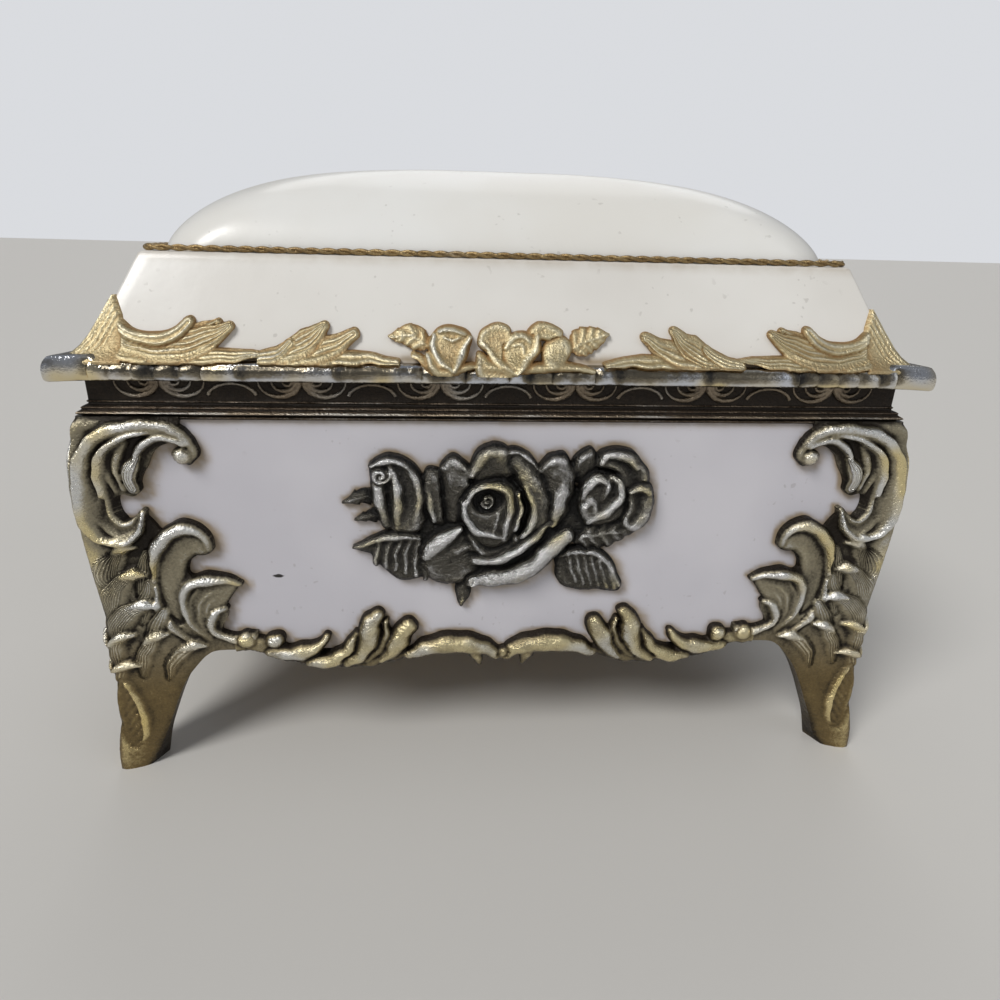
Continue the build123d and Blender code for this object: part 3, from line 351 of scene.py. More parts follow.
# Relief drawing
class Relief:
    """Height map of a casting, in millimetres above its ground, drawn with strokes and lobes."""

    def __init__(
        self,
        low: Point,
        high: Point,
        pitch: float,
        skew: Callable[[Grid], Grid] | None = None,
    ) -> None:
        """Lay out the grid.

        Args:
            low: Lowest place along and up the wall.
            high: Highest place along and up the wall.
            pitch: Spacing of the grid.
            skew: Shift of the drawing along the wall at each height.
        """
        columns = round((high[0] - low[0]) / pitch) + 1
        rows = round((high[1] - low[1]) / pitch) + 1
        self.pitch = pitch
        self.along, self.up = np.meshgrid(
            np.linspace(low[0], high[0], columns), np.linspace(low[1], high[1], rows)
        )
        self.u = self.along + (skew(self.up) if skew else 0.0)
        self.v = self.up + 0.0
        self.height = np.zeros_like(self.u)
        self.lines = np.zeros_like(self.u)
        self.kept = None
        self.inside = np.full_like(self.u, FAR)

    def unsettle(self, coarse: float, fine: float) -> None:
        """Shift the drawing a little from place to place, so that its lines look cut by hand.

        Args:
            coarse: Largest shift over a few millimetres.
            fine: Largest shift over about one millimetre.
        """
        u, v = self.u.copy(), self.v.copy()
        for reach, size in ((coarse, 1.0), (fine, 3.3)):
            a, b = u * size, v * size
            self.u += reach * 0.5 * (np.sin(1.13 * a + 1.9 * b + 0.4) + np.sin(2.1 * b - 0.7 * a + 2.0))
            self.v += reach * 0.5 * (np.sin(1.71 * a - 0.9 * b + 1.3) + np.sin(1.2 * b + 1.4 * a + 4.1))

    def hammer(self, depth: float) -> None:
        """Add the faint unevenness of a casting's skin."""
        u, v = self.u, self.v
        skin = np.sin(3.1 * u + 1.7 * np.sin(1.9 * v)) * np.sin(2.7 * v + 1.3 * np.sin(2.3 * u))
        skin += 0.6 * np.sin(6.3 * u - 4.1 * v + 0.5) * np.sin(5.2 * v + 2.9 * u)
        self.height += depth * skin

    def _window(self, line: Grid, margin: float) -> tuple[slice, slice]:
        """Part of the grid within a margin of a curve."""
        near = (self.u > line[:, 0].min() - margin) & (self.u < line[:, 0].max() + margin)
        near &= (self.v > line[:, 1].min() - margin) & (self.v < line[:, 1].max() + margin)
        rows, columns = np.where(near.any(axis=1))[0], np.where(near.any(axis=0))[0]
        if not len(rows) or not len(columns):
            return slice(0, 0), slice(0, 0)
        return slice(rows[0], rows[-1] + 1), slice(columns[0], columns[-1] + 1)

    @staticmethod
    def _nearest(u: Grid, v: Grid, line: Grid) -> tuple[Grid, Grid, Grid]:
        """Distance to a curve, the share of its length there and the side of it.

        Args:
            u: Places along the wall.
            v: Places up the wall.
            line: Points of the curve.

        Returns:
            Distance, share from 0 to 1, and side as -1 or 1.
        """
        steps = np.diff(line, axis=0)
        lengths = np.maximum(np.hypot(steps[:, 0], steps[:, 1]), 1e-6)
        reached = np.concatenate([[0.0], np.cumsum(lengths)])
        best = np.full(u.shape, 1e9)
        share, side = np.zeros(u.shape), np.zeros(u.shape)
        for start, step, length, before in zip(line, steps, lengths, reached):
            du, dv = u - start[0], v - start[1]
            t = np.clip((du * step[0] + dv * step[1]) / length**2, 0.0, 1.0)
            away = np.hypot(du - t * step[0], dv - t * step[1])
            closer = away < best
            best = np.where(closer, away, best)
            share = np.where(closer, (before + t * length) / reached[-1], share)
            side = np.where(closer, np.sign(step[0] * dv - step[1] * du), side)
        return best, share, side

    @staticmethod
    def _enclosed(u: Grid, v: Grid, line: Grid) -> Grid:
        """Whether each place lies inside a closed curve."""
        odd = np.zeros(u.shape, bool)
        for (x0, y0), (x1, y1) in zip(line[:-1], line[1:]):
            if y0 == y1:
                continue
            crosses = (y0 > v) != (y1 > v)
            odd ^= crosses & (u < (x1 - x0) * (v - y0) / (y1 - y0) + x0)
        return odd

    def _lay(
        self, window: tuple[slice, slice], value: Grid, edge: Grid, over: bool, soft: float,
        lines: Grid | float = 0.0,
    ) -> None:
        """Add a drawn shape to the map.

        Args:
            window: Part of the grid that the shape touches.
            value: Height of the shape.
            edge: Signed distance to its outline, negative inside.
            over: True to lay it over what is there, False to melt it in.
            soft: Width of the melting, in millimetres of height.
            lines: Chased lines of the shape, counted across it.
        """
        old = self.height[window]
        on_top = (edge < 0) & (over | (value > old))
        self.lines[window] = np.where(on_top, lines, self.lines[window])
        empty = self.inside[window] >= 0
        if over:
            merged = np.where(edge < 0, value, old)
        else:
            gap = np.maximum(soft - np.abs(old - value), 0.0)
            merged = np.maximum(old, value) + gap**2 / (4 * soft)
            merged = np.where(empty, value, merged)
            merged = np.where(edge < 0, merged, old)
        merged = np.where((edge >= 0) & empty & (edge < self.inside[window]), value, merged)
        self.height[window] = merged
        self.inside[window] = np.minimum(self.inside[window], edge)

    def stroke(
        self,
        points: Sequence[Point],
        width: float | Sequence[float],
        height: float | Sequence[float],
        base: float = 0.5,
        grooves: float = 0.0,
        depth: float = 0.12,
        over: bool = False,
        dish: float = 0.0,
        soft: float = 0.25,
    ) -> None:
        """Draw a rounded stroke along a curve.

        Args:
            points: Centre line.
            width: Half width, or half widths at even shares of the length.
            height: Crest height, or crest heights at even shares of the length.
            base: Height at the stroke's edges.
            grooves: Number of lines chased along each half of the stroke, 0 for none.
            depth: Depth of those lines.
            over: Whether the stroke lies over what is there.
            dish: Depth of a hollow along the middle.
            soft: Width of the melting into what is there.
        """
        line = spline(points) if len(points) > 2 else np.asarray(points, float)
        widths = np.atleast_1d(np.asarray(width, float))
        heights = np.atleast_1d(np.asarray(height, float))
        window = self._window(line, widths.max() + 1.2)
        u, v = self.u[window], self.v[window]
        if not u.size:
            return
        away, share, side = self._nearest(u, v, line)
        half = np.interp(share, np.linspace(0, 1, len(widths)), widths)
        crest = np.interp(share, np.linspace(0, 1, len(heights)), heights)
        across = np.clip(away / half, 0.0, 1.0)
        value = base + (crest - base) * np.sqrt(np.clip(1 - across**2, 0.0, 1.0))
        value = value - dish * np.clip(1 - (across / 0.62) ** 2, 0.0, 1.0)
        counted = side * across * grooves + 0.5 * grooves
        if grooves:
            value = value + depth * np.cos(counted * 2 * math.pi) * (1 - across**4)
        self._lay(window, value, away - half, over, soft, counted)

    def lobe(
        self,
        outline: Sequence[Point],
        height: float,
        edge: float = 0.6,
        rounding: float = 0.9,
        rim: float = 0.0,
        rim_width: float = 0.5,
        tilt: Point = (0.0, 0.0),
        over: bool = True,
    ) -> None:
        """Draw a petal or a patch of ground inside a closed outline.

        Args:
            outline: Points round the shape.
            height: Height in its middle.
            edge: Height at its outline.
            rounding: Distance over which it rises from the outline.
            rim: Height of a raised lip inside the outline.
            rim_width: Width of that lip.
            tilt: Rise per millimetre along and up the wall.
            over: Whether it lies over what is there.
        """
        line = spline(outline, closed=True, spans=6)
        line = np.vstack([line, line[0]])
        window = self._window(line, 1.2)
        u, v = self.u[window], self.v[window]
        if not u.size:
            return
        away, _, _ = self._nearest(u, v, line)
        signed = np.where(self._enclosed(u, v, line), -away, away)
        within = np.clip(-signed / rounding, 0.0, 1.0)
        value = edge + (height - edge) * np.sqrt(np.clip(1 - (1 - within) ** 2, 0.0, 1.0))
        value = value + rim * np.exp(-(((-signed - rim_width * 0.8) / rim_width) ** 2))
        centre = line.mean(axis=0)
        value = value + tilt[0] * (u - centre[0]) + tilt[1] * (v - centre[1])
        self._lay(window, value, signed, over, 0.2)

    def leaf(
        self,
        points: Sequence[Point],
        width: float,
        height: float,
        veins: float = 6.0,
        teeth: float = 0.1,
        cut: float = 0.14,
    ) -> None:
        """Draw a pointed leaf with a midrib and side veins, laid over what is there.

        Args:
            points: Midrib from the base to the tip.
            width: Half width at the widest place.
            height: Height beside the midrib.
            veins: Number of side veins on each half.
            teeth: Share of the width that the toothed edge cuts in.
            cut: Depth of the veins.
        """
        line = spline(points) if len(points) > 2 else np.asarray(points, float)
        window = self._window(line, width + 1.2)
        u, v = self.u[window], self.v[window]
        if not u.size:
            return
        away, share, _ = self._nearest(u, v, line)
        half = width * np.sin(math.pi * np.clip(share, 0.01, 0.99) ** 0.72) ** 0.85
        half = half * (1 - teeth * ((share * veins) % 1.0)) + 0.12
        across = np.clip(away / half, 0.0, 1.0)
        edge = 0.5
        value = edge + (height - edge) * np.sqrt(np.clip(1 - across**2.4, 0.0, 1.0))
        vein = 1 + np.cos(2 * math.pi * (share * veins - across * 0.9))
        value = value - cut * 0.5 * vein * (across > 0.12)
        value = value + 0.16 * np.exp(-((away / 0.16) ** 2)) - 0.1 * np.exp(-((away / 0.42) ** 2))
        self._lay(window, value, away - half, True, 0.2)

    def ball(self, centre: Point, radius: float, height: float, base: float = 0.5) -> None:
        """Draw a round boss."""
        ends = ((centre[0] - 0.01, centre[1]), (centre[0] + 0.01, centre[1]))
        self.stroke(ends, radius, height, base, over=True)

    def curl(
        self, centre: Point, radius: float, turns: float, width: float, height: float, start: float
    ) -> None:
        """Draw a spiral that winds in from a radius.

        Args:
            centre: Eye of the spiral.
            radius: Outer radius.
            turns: Turns, negative to wind the other way.
            width: Half width of the line.
            height: Crest height.
            start: Starting angle in degrees.
        """
        shares = np.linspace(0, 1, 22)
        angles = np.radians(start) + shares * turns * 2 * math.pi
        radii = radius * (1 - 0.82 * shares)
        points = np.column_stack([centre[0] + radii * np.cos(angles), centre[1] + radii * np.sin(angles)])
        self.stroke(points, width, height, base=0.4)

    def _blur(self, values: Grid, radius: float) -> Grid:
        """Soften values inside the outline, leaving out what lies outside."""
        reach = min(max(1, round(2.5 * radius / self.pitch)), (min(values.shape) - 1) // 2)
        taps = np.exp(-0.5 * (np.arange(-reach, reach + 1) * self.pitch / radius) ** 2)
        taps /= taps.sum()
        weight = (self.inside < self.pitch).astype(float)
        layers = [values * weight, weight]
        for axis in (0, 1):
            layers = [
                np.apply_along_axis(lambda row: np.convolve(row, taps, mode="same"), axis, layer)
                for layer in layers
            ]
        return layers[0] / np.maximum(layers[1], 1e-6)

    def soften(self, radius: float) -> None:
        """Round the steps between shapes, as casting and wear do."""
        self.height = np.where(self.inside < self.pitch, self._blur(self.height, radius), self.height)

    def wear(self) -> Grid:
        """How far each place stands proud of what is round it, from 0 in a hollow to 1 on a crest:
        rubbing, with painted shade in hollows and painted highlight on crests.
        """
        near = self.height - self._blur(self.height, 0.6)
        wide = self.height - self._blur(self.height, 1.8)
        return np.clip(0.52 + 0.8 * near + 0.28 * wide, 0.0, 1.0)

    def _cells(self) -> Grid:
        """Grid squares to keep, with squares that would touch only at a corner joined up."""
        middle = self.inside
        middle = (middle[:-1, :-1] + middle[1:, :-1] + middle[:-1, 1:] + middle[1:, 1:]) / 4
        keep = middle < 0
        for _ in range(6):
            a, b, c, d = keep[:-1, :-1], keep[1:, 1:], keep[1:, :-1], keep[:-1, 1:]
            first, second = a & b & ~c & ~d, c & d & ~a & ~b
            if not (first.any() or second.any()):
                break
            keep[1:, :-1] |= first
            keep[:-1, :-1] |= second
        return keep

    def solid(self, place: Place, back: Grid | float, open_start: bool = False) -> tuple[Grid, Grid, Grid]:
        """Raise the map into a closed shell between its face and its back.

        Args:
            place: Turns places along, up and out into points of the part's frame.
            back: Height of the back.
            open_start: Leave out the wall at the grid's first column, where a twin joins.

        Returns:
            Points, quads, and the rubbing with painted light and the chased lines of each point.
        """
        keep = self._cells()
        rows, columns = self.u.shape
        number = np.arange(rows * columns).reshape(rows, columns)
        r, c = np.where(keep)
        quads = np.stack([number[r, c], number[r, c + 1], number[r + 1, c + 1], number[r + 1, c]], axis=-1)
        edges = np.concatenate([quads[:, [0, 1]], quads[:, [1, 2]], quads[:, [2, 3]], quads[:, [3, 0]]])
        keys = np.minimum(edges[:, 0], edges[:, 1]) * rows * columns + np.maximum(edges[:, 0], edges[:, 1])
        _, first, counts = np.unique(keys, return_index=True, return_counts=True)
        rim = edges[first[counts == 1]]
        on_start = (rim % columns == 0).all(axis=1)
        pull_v, pull_u = np.gradient(self.inside, self.pitch)
        steep = np.maximum(pull_u**2 + pull_v**2, 0.3)
        shift = np.clip(self.inside / steep, -0.8 * self.pitch, 0.8 * self.pitch)
        moved = np.zeros(rows * columns, bool)
        moved[rim.ravel()] = True
        moved = moved.reshape(rows, columns)
        fixed = (self.along == self.along[0, 0]) | (self.along == self.along[0, -1])
        level = (self.up == self.up[0, 0]) | (self.up == self.up[-1, 0])
        along = self.along - np.where(moved & ~fixed, shift * pull_u, 0.0)
        up = self.up - np.where(moved & ~level, shift * pull_v, 0.0)
        back = np.broadcast_to(np.asarray(back, float), self.height.shape)
        face = place(along, up, np.maximum(self.height, back + 0.1)).reshape(-1, 3)
        rear = place(along, up, back).reshape(-1, 3)
        total = rows * columns
        if open_start:
            rim = rim[~on_start]
        sides = np.stack([rim[:, 1], rim[:, 0], rim[:, 0] + total, rim[:, 1] + total], axis=-1)
        faces = np.vstack([quads, quads[:, ::-1] + total, sides])
        rubbed_and_lit = self.wear() if self.kept is None else self.kept
        wear = np.column_stack([rubbed_and_lit.ravel(), self.lines.ravel()])
        wear = np.vstack([wear, np.tile([0.3, 0.0], (total, 1))])
        used = np.unique(faces)
        renumber = np.full(2 * total, -1)
        renumber[used] = np.arange(len(used))
        return np.vstack([face, rear])[used], renumber[faces], wear[used]


def casting(name: str, points: Grid, quads: Grid, marks: Grid) -> bpy.types.Object:
    """Make a casting of a raised drawing, with its rubbing, its painted light and its chased lines."""
    return new_object(name, points, quads, {"wear": marks[:, 0], "lines": marks[:, 1]}, CRISP)


def weld(parts: Iterable[tuple[Grid, Grid, Grid]]) -> tuple[Grid, Grid, Grid]:
    """Join shells and merge the points that they share.

    Args:
        parts: Shells as points, quads, and rubbing with painted light.

    Returns:
        One shell as points, quads, and rubbing with painted light.
    """
    verts, faces, rubbing_and_light_sets, offset = [], [], [], 0
    for points, quads, wear in parts:
        verts.append(points)
        faces.append(quads + offset)
        rubbing_and_light_sets.append(wear)
        offset += len(points)
    points, quads, wear = np.vstack(verts), np.vstack(faces), np.concatenate(rubbing_and_light_sets)
    keys = np.round(points * 2000).astype(np.int64)
    _, first, inverse = np.unique(keys, axis=0, return_index=True, return_inverse=True)
    return points[first], inverse.reshape(-1)[quads], wear[first]


# Node trees
@dataclass(frozen=True)
class Term:
    """A socket that takes part in shader maths written as Python expressions."""

    tree: "Tree"
    socket: bpy.types.NodeSocket

    def math(self, operation: str, *values: "Term | float") -> "Term":
        """Add a Math node that works on this term and the given values."""
        made = self.tree.node("ShaderNodeMath", {"operation": operation}, dict(enumerate((self, *values))))
        return Term(self.tree, made.outputs[0])

    def __add__(self, other: "Term | float") -> "Term":
        """Sum of two terms."""
        return self.math("ADD", other)

    def __radd__(self, other: float) -> "Term":
        """Sum with a number on the left."""
        return self.math("ADD", other)

    def __sub__(self, other: "Term | float") -> "Term":
        """Difference of two terms."""
        return self.math("SUBTRACT", other)

    def __rsub__(self, other: float) -> "Term":
        """A number less this term."""
        return self.math("MULTIPLY", -1.0).math("ADD", other)

    def __mul__(self, other: "Term | float") -> "Term":
        """Product of two terms."""
        return self.math("MULTIPLY", other)

    def __rmul__(self, other: float) -> "Term":
        """Product with a number on the left."""
        return self.math("MULTIPLY", other)

    def step(self, low: float, high: float) -> "Term":
        """Smooth rise from 0 to 1 between two values."""
        made = self.tree.node(
            "ShaderNodeMapRange",
            {"interpolation_type": "SMOOTHSTEP", "clamp": True},
            {"Value": self, "From Min": low, "From Max": high},
        )
        return Term(self.tree, made.outputs[0])


@dataclass(frozen=True)
class Tree:
    """A node tree whose nodes all come from one method."""

    nodes: bpy.types.NodeTree

    def node(self, kind: str, settings: dict | None = None, inputs: dict | None = None) -> bpy.types.Node:
        """Make a node.

        Args:
            kind: Blender's name of the node's type.
            settings: Properties, set before the sockets.
            inputs: Values, terms or sockets by socket name or number.

        Returns:
            The new node.
        """
        made = self.nodes.nodes.new(kind)
        for key, value in (settings or {}).items():
            setattr(made, key, value)
        for key, value in (inputs or {}).items():
            socket = made.inputs[key]
            if isinstance(value, Term):
                self.nodes.links.new(value.socket, socket)
            elif isinstance(value, bpy.types.NodeSocket):
                self.nodes.links.new(value, socket)
            else:
                socket.default_value = value
        return made

    def term(self, node: bpy.types.Node, output: str | int = 0) -> Term:
        """A node's output as a term."""
        return Term(self, node.outputs[output])

    def attribute(self, name: str) -> Term:
        """A value stored at the mesh's points."""
        return self.term(self.node("ShaderNodeAttribute", {"attribute_name": name}), "Fac")

    def place(self, scale: tuple[float, float, float] = (1, 1, 1)) -> bpy.types.NodeSocket:
        """The place in the object, stretched along its axes."""
        inputs = {"Vector": self.node("ShaderNodeTexCoord").outputs["Object"], "Scale": scale}
        return self.node("ShaderNodeMapping", None, inputs).outputs[0]

    def noise(
        self, place: bpy.types.NodeSocket, scale: float, detail: float = 3.0, rough: float = 0.5
    ) -> Term:
        """Cloudy noise from 0 to 1, with its scale per metre."""
        inputs = {"Vector": place, "Scale": scale, "Detail": detail, "Roughness": rough}
        return self.term(self.node("ShaderNodeTexNoise", None, inputs), 0)

    def mix(self, share: Term | float, first: object, second: object) -> bpy.types.NodeSocket:
        """Blend of two colours.

        Args:
            share: How much of the second colour.
            first: Colour or socket.
            second: Colour or socket.

        Returns:
            Socket with the blended colour.
        """
        made = self.node("ShaderNodeMix", {"data_type": "RGBA"}, {0: share, 6: first, 7: second})
        return made.outputs[2]

    def bump(self, height: Term, distance: float) -> bpy.types.NodeSocket:
        """Normal of a surface roughened by a height, with its depth in metres."""
        return self.node("ShaderNodeBump", None, {"Height": height, "Distance": distance}).outputs[0]

    def vector(self, operation: str, *values: object) -> bpy.types.Node:
        """Make a Vector Math node that works on the given sockets or vectors."""
        return self.node("ShaderNodeVectorMath", {"operation": operation}, dict(enumerate(values)))


def colour(red: float, green: float, blue: float) -> tuple[float, float, float, float]:
    """Linear colour from the screen values 0 to 255."""
    channels = [c / 255 for c in (red, green, blue)]
    linear = [c / 12.92 if c <= 0.04045 else ((c + 0.055) / 1.055) ** 2.4 for c in channels]
    return (*linear, 1.0)


def emptied(owner: bpy.types.Material | bpy.types.World) -> Tree:
    """Empty node tree of a material or a world."""
    owner.use_nodes = True
    owner.node_tree.nodes.clear()
    return Tree(owner.node_tree)


def start_pattern(name: str, sizes: dict[str, float]) -> tuple[Tree, bpy.types.Node]:
    """Start a Geometry Nodes tree that takes a geometry and sizes.

    Args:
        name: Name of the tree.
        sizes: Sizes in millimetres by the names of their sockets.

    Returns:
        The tree and its input node.
    """
    group = bpy.data.node_groups.new(name, "GeometryNodeTree")
    face = group.interface
    face.new_socket("Geometry", in_out="INPUT", socket_type="NodeSocketGeometry")
    for size, value in sizes.items():
        face.new_socket(size, in_out="INPUT", socket_type="NodeSocketFloat").default_value = value * MM
    face.new_socket("Geometry", in_out="OUTPUT", socket_type="NodeSocketGeometry")
    tree = Tree(group)
    return tree, tree.node("NodeGroupInput")


def end_pattern(
    tree: Tree, last: bpy.types.Node, finish: "Finish", wear: float | None = None
) -> bpy.types.NodeTree:
    """End a Geometry Nodes tree with plain meshes that have their wear and their finish.

    Args:
        tree: The tree.
        last: Node that gives the geometry.
        finish: Finish of the meshes.
        wear: How far the meshes stand proud, for the finish's rubbing and painted light, if it reads that.

    Returns:
        The finished tree.
    """
    last = tree.node("GeometryNodeRealizeInstances", None, {0: last.outputs[0]})
    if wear is not None:
        settings = {"data_type": "FLOAT", "domain": "POINT"}
        inputs = {"Geometry": last.outputs[0], "Name": "wear", "Value": wear}
        last = tree.node("GeometryNodeStoreNamedAttribute", settings, inputs)
    inputs = {"Geometry": last.outputs[0], "Material": finish.material()}
    last = tree.node("GeometryNodeSetMaterial", None, inputs)
    tree.node("NodeGroupOutput", None, {0: last.outputs[0]})
    return tree.nodes


def grow(
    seed: bpy.types.Object, pattern: bpy.types.NodeTree, values: dict[str, float]
) -> bpy.types.Object:
    """Run a Geometry Nodes tree on a path or on anchors, and keep the result in their place.

    Args:
        seed: Object with the path or the anchors.
        pattern: The tree.
        values: Values of its sockets by name.

    Returns:
        A mesh object with the seed's name.
    """
    bpy.context.scene.collection.objects.link(seed)
    modifier = seed.modifiers.new(pattern.name, "NODES")
    modifier.node_group = pattern
    for socket in pattern.interface.items_tree:
        if socket.name in values:
            modifier[socket.identifier] = values[socket.name]
    bpy.context.view_layer.update()
    seen = seed.evaluated_get(bpy.context.evaluated_depsgraph_get())
    mesh = bpy.data.meshes.new_from_object(seen)
    mesh.name = seed.name
    bpy.data.objects.remove(seed)
    piece = bpy.data.objects.new(mesh.name, mesh)
    bpy.context.scene.collection.objects.link(piece)
    return piece


# Finishes
@dataclass(frozen=True)
class Finish:
    """A surface finish with its material."""

    name: str

    def build(self, tree: Tree) -> dict:
        """Nodes of the finish, and the shader's sockets that they feed."""
        raise NotImplementedError

    def material(self) -> bpy.types.Material:
        """The finish's material, made once."""
        known = bpy.data.materials.get(self.name)
        if known:
            return known
        made = bpy.data.materials.new(self.name)
        tree = emptied(made)
        shader = tree.node("ShaderNodeBsdfPrincipled", None, self.build(tree))
        tree.node("ShaderNodeOutputMaterial", None, {"Surface": shader.outputs[0]})
        return made

    def dress(self, *pieces: bpy.types.Object) -> None:
        """Give pieces this finish."""
        for piece in pieces:
            piece.data.materials.clear()
            piece.data.materials.append(self.material())


@dataclass(frozen=True)
class Enamel(Finish):
    """Glossy stove enamel with faint clouds, fine specks, and grime with painted shadow against the
    ornament.
    """

    light: tuple = colour(226, 224, 222)
    shade: tuple = colour(212, 210, 210)
    grime_and_shadow: tuple = colour(150, 128, 92)
    speck: tuple = colour(104, 92, 78)
    chip: tuple = (0.0, 0.0, -90.0)
    chip_colour: tuple = colour(34, 30, 30)

    def build(self, tree: Tree) -> dict:
        """Nodes of the enamel."""
        place = tree.place()
        clouds = tree.noise(place, 38.0, 3.0)
        ground = tree.mix(clouds.step(0.35, 0.68), self.light, self.shade)
        strewn = tree.noise(place, 900.0, 1.0).step(0.70, 0.76)
        specks = strewn * tree.noise(place, 160.0, 2.0).step(0.45, 0.62)
        stained = tree.mix(specks * 0.22, ground, self.speck)
        # The map read here darkens the enamel with brown grime and with painted shadow beside the ornament
        # and in creases.
        soil = tree.attribute("soil") * (0.55 + 0.9 * tree.noise(place, 420.0, 4.0))
        grimed_and_shaded = tree.mix(soil.step(0.12, 1.0) * 0.85, stained, self.grime_and_shadow)
        ripple = tree.noise(place, 140.0, 2.0) + 0.18 * tree.noise(place, 1500.0, 2.0)
        spot = tuple(value * MM for value in self.chip)
        from_spot = tree.vector("SUBTRACT", place, spot)
        squashed = tree.vector("MULTIPLY", from_spot.outputs[0], (0.55, 0.55, 1.6))
        length = tree.term(tree.vector("LENGTH", squashed.outputs[0]), "Value")
        chipped = 1.0 - (length + 0.0006 * tree.noise(place, 1400.0, 2.0)).step(0.00062, 0.00082)
        return {
            "Base Color": tree.mix(chipped, grimed_and_shaded, self.chip_colour),
            "Roughness": 0.22 + 0.18 * clouds + 0.25 * soil.step(0.2, 0.9),
            "Normal": tree.bump(ripple, 0.00006),
            "Coat Weight": 0.25,
            "Coat Roughness": 0.12,
        }


@dataclass(frozen=True)
class Casting(Finish):
    """Plated casting, dark in its hollows with patina and painted shade, and bright along its crests where
    rubbed and with painted highlight.
    """

    hollow: tuple = colour(34, 27, 18)
    body: tuple = colour(118, 104, 76)
    crest: tuple = colour(222, 206, 156)
    silver: tuple = colour(222, 221, 214)
    silver_share: float = 0.5
    rubbed_and_lit: float = 0.64
    gloss: float = 0.27
    grain: float = 0.00022
    chasing: float = 0.11
    gilded_below: float = -99.0
    gilt: tuple = colour(124, 102, 58)
    gilt_crest: tuple = colour(236, 212, 142)

    def build(self, tree: Tree) -> dict:
        """Nodes of the casting."""
        place = tree.place()
        mottle = tree.noise(place, 260.0, 4.0, 0.6)
        pits = tree.noise(place, 2600.0, 3.0, 0.6)
        waves = (tree.attribute("lines") * (2 * math.pi)).math("COSINE")
        chased = waves * tree.attribute("lines").step(0.01, 0.1)
        wear = tree.attribute("wear") + 0.34 * (mottle - 0.5) + 0.30 * (pits - 0.5) + self.chasing * chased
        height = tree.term(tree.node("ShaderNodeSeparateXYZ", None, {"Vector": place}), "Z")
        gilded = 1.0 - height.step((self.gilded_below - 8.0) * MM, (self.gilded_below + 8.0) * MM)
        body = tree.mix(gilded * 0.8, self.body, self.gilt)
        # Hollows take the dark colour as patina and painted shade; crests take the bright colours as
        # rubbed metal and painted highlight.
        low = tree.mix(wear.step(0.2, self.rubbed_and_lit - 0.04), self.hollow, body)
        gained = 0.34 * self.silver_share
        patches = tree.noise(place, 95.0, 2.0).step(0.62 - gained, 0.80 - gained)
        crest = tree.mix(gilded * 0.8, self.crest, self.gilt_crest)
        bright = tree.mix(patches * (1.0 - 0.85 * gilded), crest, self.silver)
        metal = tree.mix(wear.step(self.rubbed_and_lit - 0.11, self.rubbed_and_lit + 0.22), low, bright)
        return {
            "Base Color": metal,
            "Metallic": 0.6 + 0.4 * wear.step(0.2, 0.6),
            "Roughness": self.gloss + 0.16 * (1.0 - wear.step(0.2, 0.7)) + 0.2 * (mottle - 0.5),
            "Normal": tree.bump(pits + 0.5 * mottle + 2.2 * self.chasing * chased, self.grain),
        }


@dataclass(frozen=True)
class Paint(Finish):
    """Plain even paint."""

    tint: tuple = colour(206, 204, 200)

    def build(self, tree: Tree) -> dict:
        """Nodes of the paint."""
        return {"Base Color": self.tint, "Roughness": 0.7}


@dataclass(frozen=True)
class Velvet(Finish):
    """Cotton velvet with a soft nap and crushed patches."""

    deep: tuple = colour(118, 12, 20)
    bright: tuple = colour(150, 22, 32)

    def build(self, tree: Tree) -> dict:
        """Nodes of the velvet."""
        place = tree.place()
        crushed = tree.noise(place, 140.0, 4.0)
        nap = tree.noise(place, 3200.0, 2.0, 0.7)
        return {
            "Base Color": tree.mix((crushed * 0.7 + nap * 0.3).step(0.35, 0.65), self.deep, self.bright),
            "Roughness": 0.86 + 0.1 * nap,
            "Sheen Weight": 0.7,
            "Sheen Roughness": 0.35,
            "Sheen Tint": colour(255, 150, 150),
            "Normal": tree.bump(nap + 0.6 * crushed, 0.00018),
        }


@dataclass(frozen=True)
class Card(Finish):
    """Grey-brown card with pressed fibres."""

    pale: tuple = colour(150, 132, 108)
    dark: tuple = colour(112, 96, 76)

    def build(self, tree: Tree) -> dict:
        """Nodes of the card."""
        fibres = tree.noise(tree.place((1, 1, 6)), 900.0, 4.0, 0.7)
        blotch = tree.noise(tree.place(), 60.0, 2.0)
        return {
            "Base Color": tree.mix((0.6 * fibres + 0.4 * blotch).step(0.35, 0.62), self.dark, self.pale),
            "Roughness": 0.8 + 0.15 * fibres,
            "Normal": tree.bump(fibres, 0.00012),
        }


@dataclass(frozen=True)
class Machined(Finish):
    """Turned, stamped or cast working metal with handling marks."""

    clean: tuple = colour(214, 178, 98)
    aged: tuple = colour(140, 104, 48)
    gloss: float = 0.26
    stretch: tuple = (1.0, 1.0, 1.0)
    grain: float = 0.00003

    def build(self, tree: Tree) -> dict:
        """Nodes of the working metal."""
        lines = tree.noise(tree.place(self.stretch), 900.0, 3.0, 0.6)
        stains = tree.noise(tree.place(), 150.0, 4.0, 0.6)
        return {
            "Base Color": tree.mix((0.7 * stains + 0.3 * lines).step(0.42, 0.66), self.clean, self.aged),
            "Metallic": 1.0,
            "Roughness": self.gloss + 0.22 * stains.step(0.4, 0.7) + 0.10 * lines,
            "Normal": tree.bump(lines, self.grain),
        }


